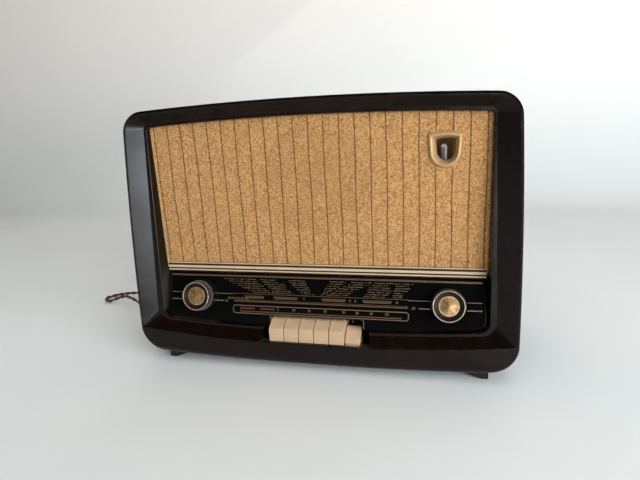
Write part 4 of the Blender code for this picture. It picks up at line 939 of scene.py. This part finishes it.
def dial_print():
    """Generic markings: rules, segment bars, a framed scale with numbers, and rows of fine dashes."""
    gold, rose, red = bmesh.new(), bmesh.new(), bmesh.new()

    def bar(mesh, x0, x1, z, height):
        up = dial_up(z)
        half = height / 2
        add_box(mesh, (x0, PRINT_HIGH, up - half), (x1, PRINT_LOW, up + half))

    def upright(mesh, x, z0, z1, width):
        add_box(mesh, (x - width / 2, PRINT_HIGH, dial_up(z0)), (x + width / 2, PRINT_LOW, dial_up(z1)))

    def frame_line(mesh, x0, x1, z0, z1, radius, width):
        middle = ((x0 + x1) / 2, (dial_up(z0) + dial_up(z1)) / 2)
        half = ((x1 - x0) / 2, (dial_up(z1) - dial_up(z0)) / 2)
        outer = rounded(half[0], half[1], radius, 5)
        within = rounded(half[0] - width, half[1] - width, max(radius - width, 0.3), 5)
        rings = ((outer, PRINT_LOW), (outer, PRINT_HIGH), (within, PRINT_HIGH), (within, PRINT_LOW))
        loft(mesh, [[(middle[0] + a, y, middle[1] + b) for a, b in shape] for shape, y in rings], around=True)

    bar(rose, -205, 205, 116.9, 2.2)
    bar(rose, -126, 132, 118.0, 0.5)
    for x0, x1 in ((-205, -184), (-142, -114), (118, 145), (188, 205)):
        bar(gold, x0, x1, 93.6, 0.9)
    for x0, x1 in ((-205, -184), (-142, -128), (131, 145), (188, 205)):
        bar(gold, x0, x1, 84.4, 1.5)
    bar(rose, -114, 118, 94.3, 0.7)
    bar(rose, -113, 118, 84.6, 1.8)
    bar(rose, -113, 118, 86.5, 0.5)
    for x0, x1 in DIAL_SEGMENTS:
        bar(rose, x0, x1, 91.3, 1.3)
        bar(rose, x0 + 1, x1 - 1, 89.4, 1.7)
    frame_line(gold, -114.2, 119.3, 68.6, 79.6, 4.0, 1.1)
    bar(rose, -104, 110, 71.6, 1.3)
    bar(red, -104, -83, 75.6, 3.0)
    bar(red, -76, -55, 75.6, 2.6)
    upright(gold, -50.7, 73.6, 78.2, 0.9)
    for x, value in zip((-28.7, -7.8, 13.5, 37.7, 55.0, 72.8, 92.0), (88, 90, 92, 94, 96, 98, 100)):
        number(gold, str(value), x, 75.8, 2.6)
    for x in (-60.0, 63.0):
        upright(gold, x, 56.5, 66.6, 1.0)
    for side, x in ((-1, -60.5), (1, 63.5)):
        bar(rose, min(x, x - side * 4), max(x, x - side * 4), 66.6, 0.8)
    for i in range(6):
        number(gold, str(i + 1), (i - 2.5) * KEY_PITCH, 65.4, 2.0)
    for i, value in enumerate((150, 200, 250, 300, 350)):
        number(gold, str(value), -120 + 6.4 * i, 88.2, 2.2)
    for x, value in ((-48, 7), (-43, 8), (45, 12), (52, 15), (-15, 9), (104, 18)):
        number(gold, str(value), x, 90.4, 2.4)
    number(gold, "00", -123.5, 84.4, 2.8)
    number(gold, "00", 125.0, 84.4, 2.8)
    number(gold, "00", 138.0, 116.9, 2.6)
    station_rows(gold, rose, bar)
    for tint, mesh, ink in (("gold", gold, PRINT), ("rose", rose, PRINT_ROSE), ("red", red, PRINT_RED)):
        piece("dial_print_" + tint, mesh, ink, at=DIAL_FRAME, smooth=30)


def station_rows(gold, rose, bar):
    """Rows of short dashes of uneven length, in groups with slanting sides."""
    for group in DASH_GROUPS:
        for line, z in enumerate(DASH_ROWS):
            share = line / (len(DASH_ROWS) - 1)
            x = group[0] + (group[2] - group[0]) * share + random.uniform(-1.5, 1.5)
            end = group[1] + (group[3] - group[1]) * share + random.uniform(-2.5, 1.5)
            while x < end - 1.0:
                long = random.choice((0.8, 1.2, 1.2, 1.6, 2.6))
                tint = gold if random.random() < 0.6 else rose
                bar(tint, x, x + long, z + random.uniform(-0.3, 0.3), 0.95)
                x += long + (0.55 if random.random() < 0.8 else 2.0)


def number(mesh, text, x, z, height):
    """Digits drawn with short strokes, centred on x."""
    wide, stroke = height * 0.52, height * 0.17
    advance = wide + height * 0.28
    start = x - advance * len(text) / 2
    half = height / 2
    up = dial_up(z)
    lines = {
        "a": (0, half, wide, half), "b": (wide, 0, wide, half), "c": (wide, -half, wide, 0),
        "d": (0, -half, wide, -half), "e": (0, -half, 0, 0), "f": (0, 0, 0, half), "g": (0, 0, wide, 0),
    }
    for i, digit in enumerate(text):
        for letter in STROKES[digit]:
            x0, z0, x1, z1 = lines[letter]
            left = start + advance * i
            low = (left + x0 - stroke / 2, PRINT_HIGH, up + z0 - stroke / 2)
            high = (left + x1 + stroke / 2, PRINT_LOW, up + z1 + stroke / 2)
            add_box(mesh, low, high)


# --- knobs ---------------------------------------------------------------------------------------


def knob(side):
    """A finely ribbed knob with a bright rim, a sunk ring and a spun gold cone."""
    out_y, out_z = DIAL_TOP_Y - KNOB_FACE_Y, KNOB_FACE_Z - DIAL_TOP_Z
    out = out_y * math.cos(DIAL_LEAN) + out_z * math.sin(DIAL_LEAN)
    at = knob_frame(side) @ Matrix.Translation((0, 0, (out - KNOB_HEIGHT) * MM))
    steps = FLUTES * 6

    def ribbed(radius, depth, height):
        found = []
        for i in range(steps):
            phase = 2 * math.pi * i / 6
            r = radius - depth * (0.5 - 0.5 * math.cos(phase)) ** 0.8
            angle = 2 * math.pi * i / steps
            found.append((r * math.cos(angle), r * math.sin(angle), height))
        return found

    high, radius, disc = KNOB_HEIGHT, KNOB_RADIUS, DISC_RADIUS
    bore = SHAFT_RADIUS + 0.2
    levels = [
        (bore, 0, 0.0), (radius - 0.7, 0.3, 0.0), (radius, 0.6, 0.25), (radius + 0.5, 0.85, 0.9),
        (radius + 0.6, 1.4, 1.6), (radius, 1.3, high - 3.2), (radius - 0.1, 1.05, high - 2.2),
        (radius - 0.45, 0.8, high - 1.5), (radius - 0.9, 0.3, high - 1.2), (radius - 1.3, 0.0, high - 1.25),
        (radius - 2.4, 0.0, high - 1.25), (radius - 2.6, 0.0, high - 1.6), (radius - 3.7, 0.0, high - 3.2),
        (radius - 4.6, 0, high - 3.7), (disc + 1.4, 0, high - 3.8), (disc + 0.5, 0, high - 3.9),
        (disc + 0.3, 0, high - 4.2), (disc + 0.3, 0, high - 5.4), (bore, 0, high - 5.4),
    ]
    mesh = bmesh.new()
    loft(mesh, [ribbed(*level) for level in levels], around=True)
    piece(side + "_knob_body", mesh, KNOB_BAKELITE, [side + "_knob"], side, at, smooth=55)

    low = high - 1.3
    inner, outer = radius - 2.3, radius - 1.0
    rim = [(inner, low), (outer, low), (outer + 0.05, low + 0.9), (outer - 0.15, low + 1.35)]
    rim += [(outer - 0.4, low + 1.45), (inner + 0.35, low + 1.45)]
    rim += [(inner + 0.1, low + 1.3), (inner, low + 1.0)]
    mesh = bmesh.new()
    lathe(mesh, rim, 96, around=True)
    piece(side + "_knob_ring", mesh, RIM_METAL, [side + "_knob_rim"], side, at, smooth=50)

    cone = [(0, high - 5.1), (disc, high - 5.1), (disc, high - 3.0), (disc - 0.15, high - 2.55)]
    cone += [(disc - 0.6, high - 2.35), (disc - 1.1, high - 2.45), (disc - 1.6, high - 2.5)]
    cone += [(6.0, high - 1.5), (2.0, high - 0.72), (0.8, high - 0.5), (0, high - 0.45)]
    mesh = bmesh.new()
    lathe(mesh, cone, 96)
    piece(side + "_knob_cap", mesh, SPUN_GOLD, [side + "_knob_disc"], side, at, smooth=40)


# --- keys ----------------------------------------------------------------------------------------


def key_section():
    """Side view of a key as (y, z) from its pivot: square front, rounded brow, top sloping back."""
    brow = [(0, -19.4), (0, -4.6), (0.35, -2.9), (1.1, -1.5), (2.3, -0.5)]
    brow += [(4.0, 0.35), (9.0, 2.7), (15.0, 5.3), (18.0, 6.2), (20.5, 6.5)]
    brow += [(23.6, 6.5), (24.8, 6.0), (25.5, 5.0), (27.0, 1.2)]
    points = [(KEY_FRONT + y, z) for y, z in brow]
    points += [(-14.0, 0.4), *arc((0, 0), 5.2, 120, -120, 16), (-14.0, -6.0)]
    points += [(KEY_FRONT + y, z) for y, z in ((27.0, -7.5), (22.0, -18.4), (18.0, -19.4))]
    return points


def keys():
    """Six keys with a slightly dished top; behind the cream cap each is a dark lever on the pivot rod."""
    half = KEY_WIDTH / 2
    for name in KEY_NAMES:
        turn = KEY_HELD if name == "fm_key" else 0.0
        at = Matrix.Translation(JOINT[name + "_press"]["pos_m"]) @ Matrix.Rotation(turn, 4, "X")
        loops = []
        for i in range(9):
            t = -1 + i / 4
            dish = 0.35 * (1 - t * t)
            sunk = [(y, z - dish if -55 < y < -30 and z > -3 else z) for y, z in key_section()]
            loops.append([(t * half, y, z) for y, z in sunk])
        mesh = bmesh.new()
        loft(mesh, loops)
        for face in mesh.faces:
            behind = face.calc_center_median().y > KEY_FRONT + 25.2
            face.material_index = int(behind and len(face.verts) == 4)
        key = piece(name + "_cap", mesh, [KEY_CREAM, LEVER], [name], name, at,
                    smooth=32, bevel=0.7, limit=50, flat=True)
        bore = bmesh.new()
        lathe(bore, [(2.3, -14), (2.3, 14)], 24)
        cut(key, bore, name + "_bore", at @ Matrix.Rotation(math.pi / 2, 4, "Y"))


# --- feet, lead, back ----------------------------------------------------------------------------


def feet():
    """Rubber wedges that follow the curve of the underside; their outer faces slope in to the floor."""
    for name in ("foot_front_left", "foot_front_right", "foot_rear_left", "foot_rear_right"):
        low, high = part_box(name)
        side = 1 if low.x > 0 else -1
        x0, x1 = sorted((abs(low.x) / MM, abs(high.x) / MM))
        y0, y1 = low.y / MM + MIDDLE_Y, high.y / MM + MIDDLE_Y
        top_in = BASE_Z + BASE_RISE * bow(x0, HALF_BOTTOM) - 0.35
        top_out = BASE_Z + BASE_RISE * bow(x1, HALF_BOTTOM) - 0.35
        shape = [(x1, 0.0), (x1, top_out), (x0, top_in), (x0, top_in - 2.4), (x1 - 9, 0.0)]
        mesh = bmesh.new()
        prism(mesh, [(side * x, z) for x, z in shape], y0, y1)
        piece(name + "_pad", mesh, RUBBER, [name], smooth=30, bevel=0.7)


def across(path, i):
    """Two directions square to a path at its point i: sideways and up."""
    ahead = (path[min(i + 1, len(path) - 1)] - path[max(i - 1, 0)]).normalized()
    side = ahead.cross(Vector((0, 0, 1)))
    side = Vector((1, 0, 0)) if side.length < 0.05 else side.normalized()
    return side, side.cross(ahead).normalized()


def lead():
    """A twisted pair of rubber-covered wires with a round two-pin plug."""
    path = smooth_way(CORD_WAY, 26)
    strands = ([], [])
    reach = 0.0
    for i, point in enumerate(path):
        side, up = across(path, i)
        if i:
            reach += (point - path[i - 1]).length
        for half, strand in enumerate(strands):
            angle = 2 * math.pi * reach / TWIST + math.pi * half
            strand.append(point + (side * math.cos(angle) + up * math.sin(angle)) * (WIRE_RADIUS + 0.02))
    mesh = bmesh.new()
    turns = [2 * math.pi * k / 10 for k in range(10)]
    for strand in strands:
        loops = []
        for i, point in enumerate(strand):
            side, up = across(strand, i)
            loops.append([point + (side * math.cos(a) + up * math.sin(a)) * WIRE_RADIUS for a in turns])
        loft(mesh, loops)
    piece("mains_flex", mesh, CORD, ["mains_cord"], smooth=60)

    low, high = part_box("mains_plug")
    middle_y, middle_z = (low.y + high.y) / 2, (low.z + high.z) / 2
    at = Matrix.Translation((low.x, middle_y, middle_z)) @ Matrix.Rotation(math.pi / 2, 4, "Y")
    profile = [(0, 0), (5.0, 0), (5.2, 3.0), (6.4, 5.5), (9.6, 12.0), (11.0, 16.0), (11.0, 22.0)]
    profile += [(10.4, 22.6), (10.4, 23.6), (11.0, 24.2), (11.0, 30.0), (10.2, 31.0), (0, 31.0)]
    mesh = bmesh.new()
    lathe(mesh, rounded_profile(profile, 0.8), 48)
    piece("plug_body", mesh, BAKELITE, ["mains_plug"], at=at, smooth=40)
    pins = bmesh.new()
    for side in (-1, 1):
        shape = [(0, 30.9), (2.2, 30.9), (2.2, 47.6), (1.9, 49.0), (1.1, 49.8), (0, 50.0)]
        lathe(pins, shape, 24, place=Matrix.Translation((0, side * 7.0, 0)))
    piece("plug_pins", pins, STEEL, at=at, smooth=40)


def back():
    """Pressed fibre back: round-ended vents, socket window, cord bush and screws with cup washers."""
    y, outside = BACK_Y, BACK_Y + BACK_THICK
    facing = Matrix.Rotation(-math.pi / 2, 4, "X")
    sizes = (HALF_TOP - 9.5, HALF_BOTTOM - 11.0, TOP_Z - 9.5)
    edge = outline(*sizes, TOP_DROP, BASE_Z + 6.0, BASE_RISE, 18, 22)
    mesh = bmesh.new()
    prism(mesh, [(x, z) for x, z, flag in edge], y, outside)
    cover = piece("back_board", mesh, HARDBOARD, ["back_cover"], smooth=30, bevel=0.5,
                  segments=2)

    holes = bmesh.new()

    def hole(x, z, shape):
        prism(holes, [(x + a, z + b) for a, b in shape], y - 4, y + 8)

    for z in (296.0, 280.0, 264.0, 248.0):
        for x in (-105.0, 0.0, 105.0):
            hole(x, z, rounded(42, 2.4, 2.39, 6))
    hole(110, 38, rounded(40, 10, 2))
    hole(CORD_X, CORD_Z, arc((0, 0), 6.0, 0, 345, 23))
    cut(cover, holes, "back_holes")

    bush = bmesh.new()
    profile = [(3.4, -2.2), (5.8, -2.2), (5.8, 3.4), (8.0, 3.4)]
    profile += [(8.0, 4.6), (7.2, 5.6), (4.6, 6.4), (3.4, 6.2)]
    lathe(bush, profile, 32, around=True)
    at = Matrix.Translation(row(CORD_X, y, CORD_Z)) @ facing
    piece("cord_bush", bush, RUBBER, at=at, smooth=40)

    washers, screws, slots = bmesh.new(), bmesh.new(), bmesh.new()
    for x, z in SCREW_PLACES:
        place = Matrix.Translation((x, outside, z)) @ facing
        lathe(washers, [(0, 0.02), (5.6, 0.02), (5.2, 0.9), (3.6, 1.3), (0, 1.3)], 28, place=place)
        head = [(0, 1.25), (3.2, 1.25), (3.0, 1.9), (2.2, 2.5), (1.1, 2.8), (0, 2.9)]
        lathe(screws, head, 24, place=place)
        add_box(slots, (x - 4, outside + 2.0, z - 0.35), (x + 4, outside + 4.0, z + 0.35))
    piece("back_washers", washers, STEEL, smooth=30)
    heads = piece("back_screws", screws, STEEL, smooth=30)
    cut(heads, slots, "screw_slots")

    low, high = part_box("socket_plate")
    middle_x, middle_z = (low.x + high.x) / 2 / MM, (low.z + high.z) / 2 / MM + BASE_Z
    ring = [(1.5, 0.02), (3.1, 0.02), (3.0, 0.5), (2.5, 0.8), (1.9, 0.7), (1.5, 0.3)]
    eyelets = bmesh.new()
    for i in range(8):
        x = middle_x + (i - 3.5) * 8.6 + (2.6 if i > 3 else -2.6)
        place = Matrix.Translation((x, high.y / MM + MIDDLE_Y, middle_z)) @ facing
        lathe(eyelets, ring, 20, around=True, place=place)
    piece("socket_eyelets", eyelets, STEEL, smooth=40)


def carried_over():
    """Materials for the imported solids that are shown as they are, mostly behind the back cover."""
    looks = {
        "eye_socket": BAKELITE, "baffle_board": PLYWOOD, "dial_plate": BLACK_STEEL, "chassis": STEEL,
        "key_pivot_rod": STEEL, "key_bank_frame": STEEL, "pointer_rail": STEEL, "volume_shaft": STEEL,
        "tuning_shaft": STEEL, "speaker_basket": STEEL, "speaker_cone": PAPER, "speaker_magnet": IRON,
        "tuning_drum": ALUMINIUM, "tuning_capacitor_frame": ALUMINIUM, "tuning_capacitor_vanes": ALUMINIUM,
        "smoothing_capacitor": ALUMINIUM, "if_transformer_1": ALUMINIUM, "if_transformer_2": ALUMINIUM,
        "volume_control": ALUMINIUM, "mains_transformer_core": IRON, "output_transformer": IRON,
        "mains_transformer_coil": WINDING, "ferrite_aerial": FERRITE, "socket_plate": PAXOLIN,
        "waveband_switch": PAXOLIN, "dial_pointer": RED, "dial_lamp_left": VALVE_GLASS,
        "dial_lamp_right": VALVE_GLASS, "audio_valve": VALVE_GLASS, "if_amplifier_valve": VALVE_GLASS,
        "mixer_valve": VALVE_GLASS, "output_valve": VALVE_GLASS, "rectifier_valve": VALVE_GLASS,
    }
    for name, look in looks.items():
        slots = frame["nodes"][name].material_slots
        for slot in slots:
            slot.material = look
        if not slots:
            frame["nodes"][name].data.materials.append(look)


# --- floor, light and camera ---------------------------------------------------------------------


def stage_material(name, colour, rough):
    """Far from the radio it takes on the brightness of the room beyond, so it has no visible end."""
    n = Nodes(name)
    tone = n.mix(n.band(n.noise(300, 4), 0.35, 0.7), colour, tuple(c * 0.97 for c in colour))
    x, y, z = n.axes()
    tone = n.mix(n.band(z, 60.0, 700.0), tone, (0.90, 0.85, 0.80))
    far = n.math("MAXIMUM", n.band(n.from_z(), 2200.0, 6000.0), n.band(y, -1100.0, -2600.0))
    tone = n.mix(far, tone, (0.0, 0.0, 0.0))
    n.set(Emission_Color=ROOM_TINT, Emission_Strength=n.math("MULTIPLY", far, SEEN_BEYOND))
    haze = n.band(n.noise(90, 4), 0.3, 0.7, rough - 0.05, rough + 0.05)
    return n.set(Base_Color=tone, Roughness=haze, Normal=n.bump(n.noise(1.5, 3), 0.02, 0.5)).material


def stage():
    """A pale table top that curves up into a plain backdrop."""
    floor_z = -BASE_Z
    reach, straight, sweep, top = 15000, 900, 420, 2400
    profile = [(-reach, floor_z), (straight, floor_z)]
    profile += arc((straight, floor_z + sweep), sweep, -90, 0, 12)[1:]
    profile.append((straight + sweep, top))
    mesh = bmesh.new()
    left, right = [[mesh.verts.new((x * MM, y * MM, z * MM)) for y, z in profile] for x in (-reach, reach)]
    for i in range(len(profile) - 1):
        mesh.faces.new((left[i], left[i + 1], right[i + 1], right[i]))
    floor = new_object("pale_floor", mesh)
    floor.data.materials.append(stage_material("pale_floor", (0.80, 0.81, 0.79), 0.55))
    floor.data.shade_smooth()
    floor.visible_glossy = False


def lamp(name, at, size, power, colour):
    """A soft lamp aimed at the radio's middle; polished surfaces don't mirror it."""
    light = bpy.data.lights.new(name, "AREA")
    light.shape = "RECTANGLE"
    light.size, light.size_y = size
    light.energy = power
    light.color = colour
    obj = bpy.data.objects.new(name, light)
    obj.location = at
    obj.rotation_euler = (Vector((0, 0, 0.16)) - Vector(at)).to_track_quat("-Z", "Y").to_euler()
    obj.visible_glossy = False
    obj.visible_camera = False
    bpy.context.scene.collection.objects.link(obj)


def window_card():
    """A low bright card off to the right that only polished surfaces see; it fades up and down."""
    middle, half = Vector((1.50, -1.72, 0)), Vector((0.75, 0.66, 0))
    low, high = Vector((0, 0, -0.95)), Vector((0, 0, 1.15))
    corners = (middle - half + low, middle + half + low, middle + half + high, middle - half + high)
    mesh = bmesh.new()
    mesh.faces.new([mesh.verts.new(corner) for corner in corners])
    card = new_object("window_card", mesh)
    n = Nodes("window_card", Base_Color=(0, 0, 0), Roughness=1.0)
    height = n.axes()[2]
    foot = n.band(height, -420.0, -130.0, 0.3, WINDOW_GLOW)
    glow = n.math("ADD", foot, n.band(height, -150.0, 250.0, 0.0, 1.0))
    glow = n.math("MULTIPLY", glow, n.band(height, 250.0, 450.0, 1.0, 0.02))
    n.set(Emission_Color=(0.79, 0.89, 0.98), Emission_Strength=glow)
    card.data.materials.append(n.material)
    card.visible_camera = False
    card.visible_diffuse = False
    card.visible_shadow = False
    card.visible_transmission = False


def room():
    """Even light for rough surfaces; for polished ones a dim room above a paler floor."""
    world = bpy.data.worlds.new("room")
    bpy.context.scene.world = world
    world.use_nodes = True
    tree = world.node_tree

    def put(kind, **sockets):
        node = tree.nodes.new("ShaderNode" + kind)
        for key, value in sockets.items():
            node.inputs[key.replace("_", " ")].default_value = value
        return node

    back = tree.nodes["Background"]
    back.inputs["Color"].default_value = (*ROOM_TINT, 1.0)
    place = put("TexCoord")
    split = put("SeparateXYZ")
    upward = put("MapRange", From_Min=-0.15, From_Max=0.10, To_Min=GLOSS_BELOW, To_Max=GLOSS_ABOVE)
    choose = put("Mix")
    path = put("LightPath")
    choose.inputs[2].default_value = EVEN_LIGHT
    tree.links.new(place.outputs["Generated"], split.inputs[0])
    tree.links.new(split.outputs[2], upward.inputs["Value"])
    tree.links.new(upward.outputs[0], choose.inputs[3])
    tree.links.new(path.outputs["Is Glossy Ray"], choose.inputs[0])
    beyond = put("Mix")
    beyond.inputs[3].default_value = SEEN_BEYOND
    tree.links.new(choose.outputs[0], beyond.inputs[2])
    tree.links.new(path.outputs["Is Camera Ray"], beyond.inputs[0])
    tree.links.new(beyond.outputs[0], back.inputs["Strength"])


def lights():
    lamp("window", (1.72, -1.45, 0.70), (1.9, 1.45), 68, (0.86, 0.94, 1.0))
    lamp("sky", (0.15, -0.5, 2.3), (2.6, 2.6), 23, (0.97, 0.985, 1.0))
    lamp("front_fill", (-1.1, -2.3, 0.8), (1.6, 1.2), 8, (1.0, 0.93, 0.84))
    lamp("rear_fill", (-0.5, 1.0, 1.0), (1.6, 1.2), 2.5, (1.0, 0.98, 0.95))
    window_card()
    room()


def camera():
    lens = bpy.data.cameras.new("camera")
    lens.sensor_width = 36.0
    lens.lens = 27.083
    lens.clip_start = 0.01
    obj = bpy.data.objects.new("camera", lens)
    obj.location = (0.15102, -0.63681, 0.31615)
    obj.rotation_euler = [math.radians(v) for v in (75.09, 2.965, 13.27)]
    bpy.context.scene.collection.objects.link(obj)
    bpy.context.scene.camera = obj
    bpy.context.scene.view_settings.view_transform = "Standard"


cabinet()
cloth()
eye()
trim_bar()
glass()
dial_print()
knob("volume")
knob("tuning")
keys()
feet()
lead()
back()
carried_over()
stage()
lights()
camera()
